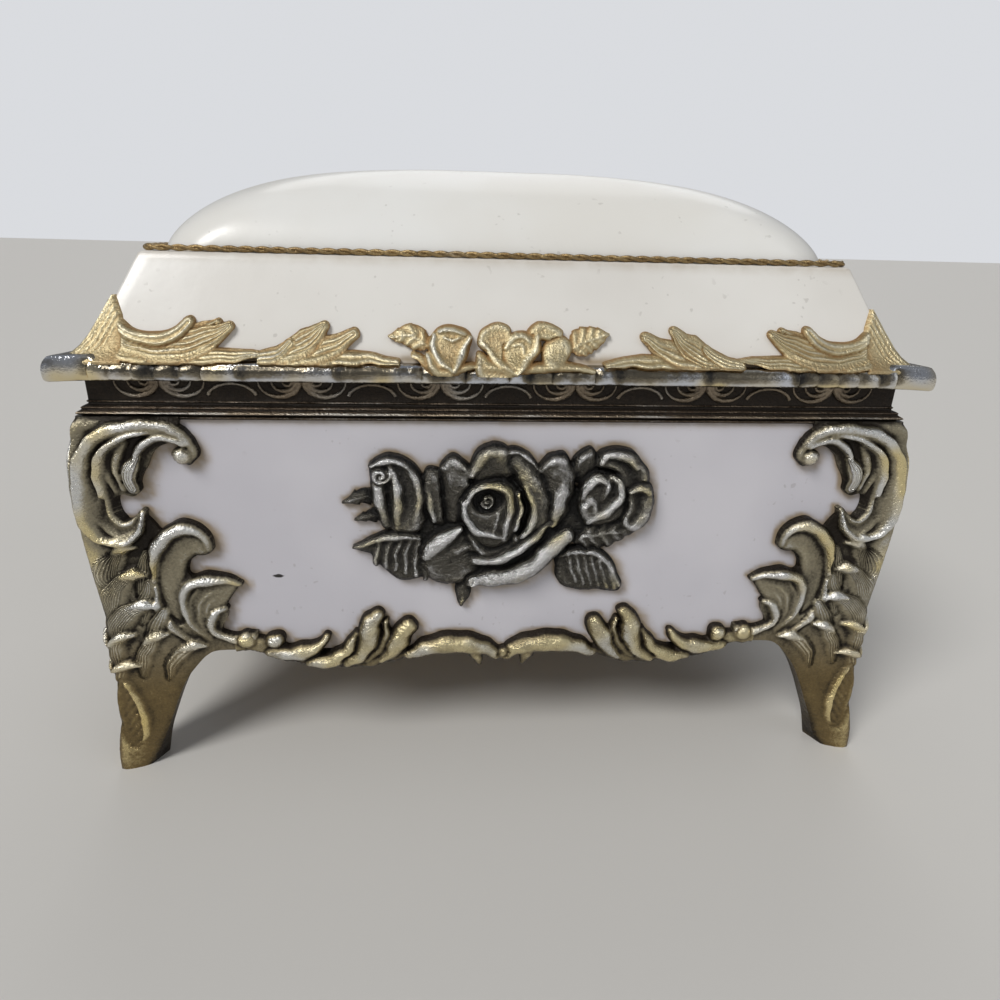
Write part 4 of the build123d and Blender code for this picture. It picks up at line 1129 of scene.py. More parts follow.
WALL_ENAMEL = Enamel(
    "wall_enamel", light=colour(208, 206, 212), shade=colour(199, 197, 204), chip=(-33.9, -39.4, 32.4),
)
LID_ENAMEL = Enamel("lid_enamel", light=colour(232, 230, 225), shade=colour(222, 219, 213))
DOME_ENAMEL = Enamel(
    "dome_enamel", light=colour(236, 236, 233), shade=colour(229, 227, 221), chip=(-9.6, -5.6, 90.8),
    chip_colour=colour(150, 112, 84),
)
CORNER_GILT = Casting(
    "corner_gilt", hollow=colour(34, 28, 20), body=colour(162, 154, 132), crest=colour(230, 214, 164),
    silver=colour(226, 226, 223), silver_share=0.85, rubbed_and_lit=0.64, gilded_below=20.0,
)
APRON_GILT = Casting(
    "apron_gilt", hollow=colour(38, 30, 20), body=colour(148, 136, 106), crest=colour(224, 211, 168),
    silver_share=0.55, rubbed_and_lit=0.64,
)
LID_GILT = Casting(
    "lid_gilt", hollow=colour(160, 128, 84), body=colour(208, 193, 154), crest=colour(238, 228, 197),
    silver=colour(220, 217, 204), silver_share=0.35, rubbed_and_lit=0.66, gloss=0.40, chasing=0.12,
)
# Its dark body colour is the pewter's own tone and also a painted dark reflection of the room round it.
SPRAY_PEWTER = Casting(
    "spray_pewter", hollow=colour(20, 19, 17), body=colour(94, 91, 84), crest=colour(204, 194, 158),
    silver=colour(216, 216, 216), silver_share=0.8, rubbed_and_lit=0.66, gloss=0.21, grain=0.00038,
)
FRIEZE_PEWTER = Casting(
    "frieze_pewter", hollow=colour(36, 30, 24), body=colour(82, 71, 60), crest=colour(160, 146, 126),
    silver=colour(186, 182, 174), silver_share=0.5, rubbed_and_lit=0.74, gloss=0.36,
)
RIM_PLATE = Casting(
    "rim_plate", hollow=colour(40, 39, 38), body=colour(126, 118, 102), crest=colour(222, 206, 164),
    silver=colour(212, 216, 224), silver_share=0.75, rubbed_and_lit=0.60, gloss=0.14, grain=0.00006,
)
ROPE_GILT = Casting(
    "rope_gilt", hollow=colour(58, 42, 24), body=colour(132, 108, 74), crest=colour(206, 182, 134),
    silver_share=0.2, rubbed_and_lit=0.6, gloss=0.36,
)
RED_VELVET = Velvet("red_velvet")
TRAY_CARD = Card("tray_card")
PLATED_SHEET = Machined("plated_sheet", clean=colour(176, 150, 100), aged=colour(120, 98, 62), gloss=0.36)
BRASS = Machined("brass")
STEEL = Machined("steel", clean=colour(198, 200, 204), aged=colour(130, 130, 134), gloss=0.24)
DIE_CAST = Machined(
    "die_cast", clean=colour(150, 150, 150), aged=colour(104, 104, 106), gloss=0.42, grain=0.00008,
)


# Walls
@dataclass
class Walls:
    """Enamelled plates between the corner castings, with the ledge that carries the tray."""

    pitch: float = 0.7
    bevel: float = 0.12
    corner_reach: float = 2.4
    lug_low: float = 25.2
    lug_high: float = 29.2
    lug_size: float = 5.0
    ornaments: list = field(default_factory=list)

    def section(self) -> Grid:
        """Outline of a plate as distance behind the face and height."""
        plan = PLAN
        face_steps = np.arange(plan.wall_base + self.bevel, plan.moulding_base, self.pitch)
        outer = [(0.0, z) for z in face_steps] + [(0.0, plan.moulding_base + 0.2)]
        inner = [(-plan.wall, plan.moulding_base + 0.2), (-plan.wall, plan.ledge),
                 (-plan.wall - 1.0, plan.ledge), (-plan.wall - 1.0, plan.ledge - 1.2),
                 (-plan.wall, plan.ledge - 2.2), (-plan.wall, plan.wall_base),
                 (-self.bevel, plan.wall_base)]
        return np.array(outer + inner)

    def soil(self, side: Side, along: Grid, up: Grid) -> Grid:
        """Grime against the ornament, with painted shadow beside it and painted shade under the moulding,
        from 0 to 1.

        Args:
            side: The wall.
            along: Places along the wall.
            up: Heights.

        Returns:
            Grime and painted shadow at each place.
        """
        # Painted shade in a band under the moulding's overhang.
        grime_and_shadow = np.exp(-np.abs(up - PLAN.moulding_base) / 0.8) * 0.8
        for relief, sides, mirrored in self.ornaments:
            if side not in sides:
                continue
            drawn = (PLAN.half(side) + self.corner_reach - np.abs(along)) if mirrored else along
            # The second, shifted sample stretches each halo to one side of the ornament and below it, as a
            # painted cast shadow.
            for shift_along, shift_up, reach, most in ((0.0, 0.0, 0.5, 1.0), (-0.9, 0.7, 1.0, 0.7)):
                hand = -np.sign(along) if mirrored else 1.0
                column = (drawn + hand * shift_along - relief.along[0, 0]) / relief.pitch
                row = (up + shift_up - relief.up[0, 0]) / relief.pitch
                rows, columns = relief.u.shape
                on_map = (column >= 0) & (column <= columns - 1) & (row >= 0) & (row <= rows - 1)
                near = relief.inside[
                    np.clip(row, 0, rows - 1).astype(int), np.clip(column, 0, columns - 1).astype(int)
                ]
                near = np.where(on_map, near, FAR)
                grime_and_shadow = np.maximum(grime_and_shadow, most * np.exp(-np.clip(near, 0, FAR) / reach))
        return grime_and_shadow

    def build(self) -> list[bpy.types.Object]:
        """Make the four plates."""
        pieces = []
        outline = self.section()
        for side in Side:
            half, face = PLAN.half(side), PLAN.face(side)
            steps = np.linspace(-1, 1, int(2 * half / self.pitch) + 1)
            behind, up = outline[:, 0][None, :], outline[:, 1][None, :]
            along = steps[:, None] * (half - 0.04 + behind)
            up = np.broadcast_to(up, along.shape)
            points = side.points(along, face + behind, up)
            count = len(outline)
            faces = [list(q) for q in ring_faces(len(steps), count, False)]
            faces += [list(range(count)), list(range((len(steps) - 1) * count, len(steps) * count))[::-1]]
            # Inner faces take an even 0.3 of this darkening.
            grime_and_shadow = np.where(behind < -0.5, 0.3, self.soil(side, along, up))
            attributes = {"soil": grime_and_shadow.ravel()}
            piece = new_object(side.named("enamel_plate"), points.reshape(-1, 3), faces, attributes, 35.0)
            WALL_ENAMEL.dress(piece)
            pieces.append(piece)
        return pieces

    def lugs(self) -> list[bpy.types.Object]:
        """Blocks inside the end walls that the bottom plate is screwed up to."""
        pieces = []
        low, high, size = self.lug_low, self.lug_high, self.lug_size
        for corner in CORNERS:
            x = corner.x_sign * (PLAN.face_x - PLAN.wall - size / 2 + 0.1)
            y = corner.y_sign * (PLAN.face_y - PLAN.wall - size)
            levels = ((low, 0.3), (low + 0.3, 0.0), (high - 0.3, 0.0), (high, 0.3), (high, 1.6),
                      (low, 1.6))
            loops = []
            for z, inset in levels:
                outline = rounded_rectangle(size / 2 - inset, size / 2 - inset, 0.5, 3, 3)
                loops.append(at_height(outline + (x, y), z))
            quads = ring_faces(len(loops), len(loops[0]))
            piece = new_object(corner.named("lug"), np.vstack(loops), quads, None, 40.0)
            DIE_CAST.dress(piece)
            pieces.append(piece)
        return pieces


# Corner castings
def corner_edge(z: Grid) -> Grid:
    """Relief of a cast corner's edge beyond the wall faces at each height."""
    heights = (0.0, 1.5, 3.5, 6.0, 10.5, 14.0, 17.0, 22.0, 29.5, 37.0, 44.0, 48.5, 53.0, 56.4, 58.0)
    reliefs = (3.4, 3.4, 3.3, 2.95, 2.15, 1.8, 1.7, 1.8, 2.15, 2.45, 2.7, 2.6, 1.9, 1.15, 0.9)
    return np.interp(z, heights, reliefs)


@dataclass
class CornerCastings:
    """Cabriole legs with their acanthus leaves, and the C-scrolls above them.

    The drawing's first coordinate runs inwards from 2.8 mm beyond the wall's end, so that the corner's
    edge follows its own swelling line, and both walls of a corner share one drawing.
    """

    pitch: float = 0.2
    reach: float = 21.5
    blend: float = 8.0
    offset: float = 2.8
    flame: tuple[Point, ...] = ((3.0, 0.8), (1.5, 0.6), (-0.2, 0.0), (-1.2, -0.9))

    def ground(self, relief: Relief) -> Grid:
        """Swelling ground of the casting, highest along the corner and fuller down the leg."""
        edge = corner_edge(relief.up)
        inwards = relief.along
        leg_width = np.interp(relief.up, (0, 6, 12, 20, 30), (4.6, 7.5, 10.0, 15.0, 17.0))
        leg = (edge + 0.1) * (1 - 0.5 * np.clip(inwards / leg_width, 0, 1) ** 2)
        upper = 0.85 + (edge + 0.3 - 0.85) * np.exp(-((inwards / 1.9) ** 2))
        share = np.clip((relief.up - 24.0) / 14.0, 0, 1)
        share = share * share * (3 - 2 * share)
        rounded = 0.4 * np.clip(1 - inwards / 1.6, 0, 1) ** 2
        return leg * (1 - share) + upper * share - rounded

    def draw(self) -> Relief:
        """Draw the casting."""
        relief = Relief(
            (0.0, 0.0), (self.reach, PLAN.moulding_base + 0.6), self.pitch,
            lambda z: self.offset - corner_edge(z),
        )
        outline = [(-3, 58), (13.4, 57.6), (14.6, 55.4), (13.6, 53.6), (12.2, 52.9), (10.9, 51.8),
                   (10.0, 50.0), (9.2, 48.8), (8.7, 47.6), (8.6, 46.4), (7.4, 45.5), (5.6, 45.8),
                   (4.0, 45.4), (3.7, 44.2), (4.1, 42.9), (4.9, 42.0), (6.0, 41.7), (7.4, 42.6),
                   (8.4, 42.7), (9.4, 41.7), (10.1, 40.6), (10.7, 39.6), (12.0, 40.4), (14.0, 41.1),
                   (16.0, 40.2), (17.0, 38.6), (16.8, 37.0), (15.6, 36.4), (14.6, 36.4), (13.7, 35.4),
                   (13.4, 33.9), (14.0, 33.0), (16.3, 33.3), (19.0, 33.0), (20.4, 31.9), (19.4, 30.0),
                   (18.3, 28.4), (18.3, 26.2), (17.4, 24.6), (17.3, 23.4), (18.8, 22.9), (23.0, 23.2),
                   (23.0, 20.5), (16.6, 20.2), (14.6, 19.5), (12.7, 17.5), (11.0, 15.2), (9.4, 11.9),
                   (7.9, 8.2), (6.5, 5.0), (5.4, 2.4), (4.4, 0.9), (3.2, -0.1), (2.2, -1.0), (-3, -1.0)]
        relief.lobe(outline, 0.0, 0.0, over=True)
        relief.height = self.ground(relief)
        relief.unsettle(0.1, 0.008)
        relief.stroke([(0.5, 52.0), (0.9, 54.2), (2.6, 55.7), (5.6, 56.2)], (0.7, 1.0, 1.1, 0.6),
                      (2.3, 1.8, 1.6, 1.3), 0.9)
        self._upper_scroll(relief)
        self._lower_scrolls(relief)
        self._acanthus(relief)
        at_edge = np.clip(1.5 - relief.along / 1.2, 0, 1)
        relief.height += at_edge * np.clip(self.ground(relief) - relief.height, 0, 3)
        self._petal(relief)
        relief.hammer(0.02)
        relief.soften(0.15)
        return relief

    def _upper_scroll(self, relief: Relief) -> None:
        """The C-scroll with its ball, inner folds and hollow lower end."""
        relief.stroke([(5.6, 53.4), (4.5, 51.0), (4.1, 48.6), (4.5, 46.2)], (0.5, 0.75, 0.75, 0.4),
                      (1.5, 1.75, 1.7, 1.2), 0.7)
        relief.stroke([(7.7, 53.6), (6.3, 51.8), (5.8, 49.6), (6.2, 46.8)], (0.6, 0.9, 0.95, 0.6),
                      (1.5, 1.85, 1.9, 1.4), 0.7)
        relief.stroke([(9.0, 51.4), (7.9, 50.0), (7.4, 48.4), (7.7, 46.8)], (0.6, 1.15, 1.25, 0.95),
                      (1.7, 2.15, 2.2, 1.7), 0.6, 3, 0.07, over=True)
        rim = [(15.7, 53.6), (14.7, 54.9), (12.9, 55.7), (10.8, 56.0), (8.2, 55.7), (5.7, 55.0),
               (3.6, 53.5), (2.0, 51.4), (1.1, 48.9), (0.7, 46.2), (0.5, 43.6), (0.9, 41.2), (1.9, 39.6),
               (3.3, 38.9), (4.8, 39.1)]
        relief.stroke(rim, (0.85, 1.0, 1.1, 1.05, 0.95, 0.85, 0.75, 0.65),
                      (1.7, 2.2, 2.6, 2.9, 3.0, 2.9, 2.4), 0.8)
        ridge = [(12.6, 54.9), (10.4, 55.0), (8.3, 54.5), (6.4, 53.6), (4.8, 52.2), (3.7, 50.3),
                 (3.1, 48.0), (2.9, 45.8)]
        relief.stroke(ridge, (0.3, 0.5, 0.6, 0.62, 0.6, 0.45), (1.8, 2.4, 2.75, 2.8, 2.6, 2.1), 1.1)
        relief.stroke([(15.3, 53.2), (14.1, 53.9), (12.8, 54.2), (11.4, 54.0), (10.0, 53.2), (9.0, 52.0),
                       (8.7, 50.8)], (0.5, 0.7, 0.7, 0.65, 0.5), (1.9, 2.0, 2.1, 2.1, 1.7), 0.6)
        relief.stroke([(15.0, 54.4), (16.1, 53.2), (16.3, 51.8), (15.7, 50.7)], (0.8, 0.85, 0.8, 0.6),
                      (1.5, 1.4, 1.2), 0.4)
        relief.ball((14.9, 51.5), 1.3, 2.1, 0.5)
        spoon = [(2.9, 45.6), (2.5, 43.6), (3.3, 41.6), (5.0, 40.5), (6.7, 41.0), (7.8, 42.1), (8.5, 43.3)]
        relief.stroke(spoon, (0.6, 1.3, 1.7, 1.5, 1.0, 0.4), (2.0, 2.1, 2.2, 2.3, 2.3, 1.6), 1.0,
                      dish=0.75)
        relief.stroke([(8.5, 43.2), (8.2, 41.4), (7.0, 39.6), (5.2, 38.7), (3.4, 38.7), (2.0, 39.8)],
                      (0.3, 0.5, 0.6, 0.6, 0.55, 0.4), (1.8, 2.5, 2.7, 2.7, 2.6, 2.4), 1.0)

    def _lower_scrolls(self, relief: Relief) -> None:
        """The second and third scrolls, which run down into the apron."""
        inner = [(9.2, 38.2), (12.0, 40.2), (15.0, 40.2), (17.2, 38.2), (16.8, 36.6), (14.8, 36.2),
                 (13.6, 34.6), (13.2, 31.6), (12.4, 27.6), (11.6, 25.0), (9.4, 27.6), (8.8, 33.0)]
        relief.lobe(inner, 1.5, 0.5, 1.3, over=True)
        second = [(16.9, 37.4), (16.6, 39.0), (15.4, 40.3), (13.7, 40.8), (11.9, 40.0), (10.2, 38.3),
                  (9.0, 36.0), (8.3, 33.4), (8.2, 30.6), (8.7, 27.8), (9.8, 25.2), (11.5, 23.2),
                  (13.4, 21.8)]
        relief.stroke(second, (0.6, 0.95, 1.15, 1.2, 1.1, 1.0, 1.0, 0.95, 0.8, 0.6),
                      (1.4, 2.1, 2.6, 2.8, 2.8, 2.7, 2.5, 2.3, 2.0, 1.6), 0.7, over=True)
        face = [(20.4, 31.6), (17.6, 32.2), (14.6, 31.6), (12.6, 29.6), (12.4, 26.6), (13.4, 23.6),
                (15.6, 22.2), (16.4, 24.2), (16.8, 26.8), (18.4, 28.4), (19.6, 30.0)]
        relief.lobe(face, 1.3, 0.6, 1.0, over=True)
        for points in (
            [(18.6, 30.6), (16.2, 30.2), (14.6, 28.4), (14.2, 26.0), (15.0, 23.6)],
            [(17.4, 29.6), (15.8, 28.2), (15.3, 26.2), (15.8, 24.2)],
            [(17.0, 31.4), (14.8, 31.0), (13.4, 29.2), (13.2, 26.6), (14.0, 24.0)],
        ):
            relief.stroke(points, 0.3, (1.3, 1.6, 1.6, 1.3), 1.0, soft=0.15)
        third = [(20.7, 31.6), (19.0, 32.3), (16.6, 32.5), (14.6, 32.2), (13.1, 31.3), (12.4, 29.8),
                 (12.3, 27.8), (12.8, 25.6), (13.8, 23.8), (15.3, 22.4)]
        relief.stroke(third, (0.4, 0.85, 1.05, 0.95, 0.75, 0.7, 0.65, 0.5),
                      (1.4, 2.1, 2.6, 2.6, 2.3, 2.0, 1.7, 1.3), 0.6)
        small = [(18.1, 27.5), (16.9, 27.0), (15.9, 25.6), (15.9, 24.0), (17.0, 22.9), (18.9, 22.2),
                 (21.6, 22.4)]
        relief.stroke(small, (0.5, 0.85, 0.85, 0.75, 0.8, 0.95, 0.9), (1.4, 2.0, 1.9, 1.7, 1.7, 1.8, 1.6),
                      0.5, over=True)
        relief.ball((20.6, 22.3), 1.2, 1.9)

    def _acanthus(self, relief: Relief) -> None:
        """Leaf lobes that sweep up from the corner's edge, each tip lying over the lobe above."""
        lobes = (
            ([(6.4, 30.4), (7.0, 33.0), (8.0, 36.6)], (0.9, 1.5, 0.8), 0.5, 3, False),
            ([(2.4, 31.6), (2.4, 34.4), (3.4, 36.6), (5.0, 37.8)], (1.2, 1.9, 1.5, 0.7), 0.75, 6, True),
            ([(6.3, 26.0), (7.0, 29.0), (8.0, 32.0)], (0.9, 1.5, 0.8), 0.5, 3, False),
            ([(2.5, 27.0), (2.6, 30.0), (4.0, 32.4), (6.0, 33.6)], (1.3, 2.1, 1.7, 0.7), 0.8, 6, True),
            ([(6.6, 21.6), (7.8, 24.4), (9.4, 27.4)], (0.9, 1.6, 0.9), 0.5, 3, False),
            ([(2.6, 22.0), (3.0, 25.4), (5.0, 27.8), (7.4, 28.8)], (1.3, 2.2, 1.8, 0.7), 0.8, 6, True),
            ([(5.0, 16.6), (5.4, 19.4), (6.6, 21.8), (8.2, 23.6)], (0.8, 1.5, 1.3, 0.7), 0.75, 4, True),
            ([(2.2, 17.6), (1.9, 20.2), (2.5, 22.2), (3.6, 23.6)], (0.8, 1.5, 1.2, 0.7), 0.85, 4, True),
            ([(8.6, 15.8), (9.2, 18.0), (10.8, 20.0), (13.2, 21.5)], (0.6, 1.3, 1.3, 0.6), 0.8, 2, True),
            ([(2.0, 14.4), (1.8, 16.2), (2.4, 17.6), (3.6, 18.5)], (0.6, 1.1, 1.0, 0.6), 0.7, 2, True),
        )
        ground = self.ground(relief)
        for points, widths, rise, lines, tipped in lobes:
            levels = [
                float(ground[np.argmin(np.abs(relief.up[:, 0] - z)), np.argmin(np.abs(relief.u[0] - p))])
                for p, z in points
            ]
            rises = rise * np.linspace(0.25, 1.0, len(levels))
            crests = [level + higher for level, higher in zip(levels, rises)]
            relief.stroke(points, widths, crests, min(crests) - 0.5, lines, 0.02, over=True)
            if not tipped:
                continue
            tip = np.array(points[-1])
            lean = (tip - np.array(points[-2])) / math.dist(points[-1], points[-2])
            side = np.array([-lean[1], lean[0]])
            flame = [tip - back * lean + beside * side for back, beside in self.flame]
            relief.stroke(flame, (0.3, 0.85, 1.05, 0.3),
                          [levels[-1] + high for high in (0.5, 1.1, 1.45, 0.9)], 0.9, soft=0.4)

    def _petal(self, relief: Relief) -> None:
        """The long drop on the lower leg, hollow and ribbed inside its lip."""
        drop = [(2.0, 16.4), (3.2, 14.9), (4.0, 12.4), (4.5, 9.6), (4.5, 6.8), (3.5, 4.7), (2.0, 3.9),
                (0.9, 4.8), (0.5, 8.0), (0.6, 12.0), (1.1, 15.0)]
        relief.lobe(drop, 2.2, 1.9, 0.7, rim=0.3, rim_width=0.4, tilt=(0.02, -0.06))
        for step in range(7):
            low = 5.6 + 1.35 * step
            right = 3.6 - 0.14 * step
            relief.stroke([(1.2, low - 1.2), (0.5 * right + 0.6, low + 0.1), (right, low + 1.3)],
                          (0.3, 0.42, 0.3), 2.62 - 0.08 * step, 2.1, soft=0.3)
        lip = [(2.4, 15.2), (3.6, 12.6), (4.2, 9.6), (4.1, 6.8), (3.2, 4.9), (2.0, 4.2)]
        relief.stroke(lip, (0.3, 0.45, 0.6, 0.75, 0.7, 0.35), (2.3, 2.5, 2.7, 3.0, 2.9, 2.5), 1.8,
                      soft=0.4)

    def build(self, relief: Relief) -> list[bpy.types.Object]:
        """Raise the drawing at the four corners."""
        back = np.interp(relief.up, (0, 17, 19, 24, 26), (-1.0, -1.75, -1.75, -1.75, -1.2))
        pieces = []
        for corner in CORNERS:
            piece = corner.casting(
                "leg_casting", relief, back, self.blend, corner_edge, lambda z: (PLAN.face_x, PLAN.face_y)
            )
            CORNER_GILT.dress(piece)
            pieces.append(piece)
        return pieces


# Aprons
@dataclass
class Aprons:
    """Scalloped rails of scrolls and shells under the walls."""

    pitch: float = 0.2
    thickness: float = 1.7
    low: float = 15.0
    high: float = 28.6
    legs: float = 17.0
    end_gap: float = 16.2

    def half_drawing(self, relief: Relief, hand: int, half: float) -> None:
        """Draw one half of a rail, mirrored by its hand and fitted to the wall's half length.

        Args:
            relief: Drawing of the rail.
            hand: -1 for the left half, 1 for the right.
            half: Half length of the wall.
        """
        long_wall = half == PLAN.face_x
        stretch = (half - self.legs) / (PLAN.face_x - self.legs)

        def at(x: float, z: float) -> Point:
            """Mirrored and fitted place."""
            return (hand * x * stretch, z)

        balls = ((39.3, 22.0), (35.0, 21.8)) if long_wall else ((39.3, 22.0),)
        lines = (
            ([(44.5, 21.6), (40.8, 21.3), (37.0, 20.9), (32.5, 19.4)], (1.3, 1.2, 1.2, 1.0),
             (1.4, 1.5, 1.3)),
            ([(33.4, 18.6), (27.5, 17.9), (21.0, 17.7), (15.0, 19.0)], (0.8, 1.0, 1.1, 0.7),
             (1.0, 1.1, 1.0)),
            ([(36.0, 19.7), (33.0, 19.5), (30.2, 19.9), (28.2, 21.0), (27.1, 22.4)],
             (0.8, 1.2, 1.3, 1.0, 0.5), (1.6, 2.1, 2.2, 2.0, 1.5)),
            ([(30.2, 17.7), (27.2, 17.9), (24.6, 19.3), (23.3, 21.2), (22.6, 22.8)],
             (0.7, 1.2, 1.3, 1.0, 0.5), (1.5, 2.0, 2.2, 2.0, 1.5)),
            ([(24.4, 17.5), (21.8, 19.2), (20.7, 22.0), (20.4, 24.4), (19.3, 26.0)],
             (0.7, 1.3, 1.5, 1.6, 1.0), (1.6, 2.1, 2.3, 2.4, 1.8)),
            ([(18.8, 17.9), (17.0, 20.0), (15.8, 22.2), (14.6, 24.0)], (0.7, 1.3, 1.6, 1.3),
             (1.5, 2.0, 2.3, 1.9)),
            ([(21.4, 17.8), (19.2, 19.8), (18.0, 22.6), (18.0, 24.8)], (0.4, 0.6, 0.6, 0.4),
             (1.3, 1.6, 1.6)),
            ([(14.6, 18.7), (11.6, 20.2), (8.4, 20.8), (5.2, 20.6), (2.6, 19.9), (0.7, 18.6)],
             (0.8, 1.3, 1.6, 1.6, 1.4, 1.0), (1.5, 2.2, 2.5, 2.5, 2.2, 1.6)),
        )
        for points, widths, heights in lines:
            fuller = tuple(width * 1.14 for width in widths)
            relief.stroke([at(*point) for point in points], fuller, heights, 0.4, over=True)
        relief.stroke([at(4.8, 20.4), at(4.1, 18.8), at(3.4, 16.8)], (0.9, 1.1, 0.4), (2.0, 1.8, 1.0), 0.5)
        for centre in balls:
            relief.ball(at(*centre), 1.5, 2.1)

    def draw(self, half: float) -> Relief:
        """Draw a rail for a wall of a half length."""
        reach = half - self.end_gap
        relief = Relief((-reach, self.low), (reach, self.high), self.pitch)
        relief.unsettle(0.16, 0.01)
        for hand in (-1, 1):
            self.half_drawing(relief, hand, half)
        relief.ball((0.2, 19.0), 1.0, 1.6)
        relief.hammer(0.03)
        relief.soften(0.16)
        return relief

    def build(self, reliefs: dict[float, Relief]) -> list[bpy.types.Object]:
        """Raise a rail on each wall."""
        pieces = []
        for side in Side:
            def put(along: Grid, z: Grid, out: Grid) -> Grid:
                """Point for a place along the wall, a height and a relief."""
                return side.points(along, PLAN.face(side) + out, z)

            raised = reliefs[PLAN.half(side)].solid(put, -self.thickness)
            piece = casting(side.named("apron_rail"), *raised)
            APRON_GILT.dress(piece)
            pieces.append(piece)
        return pieces


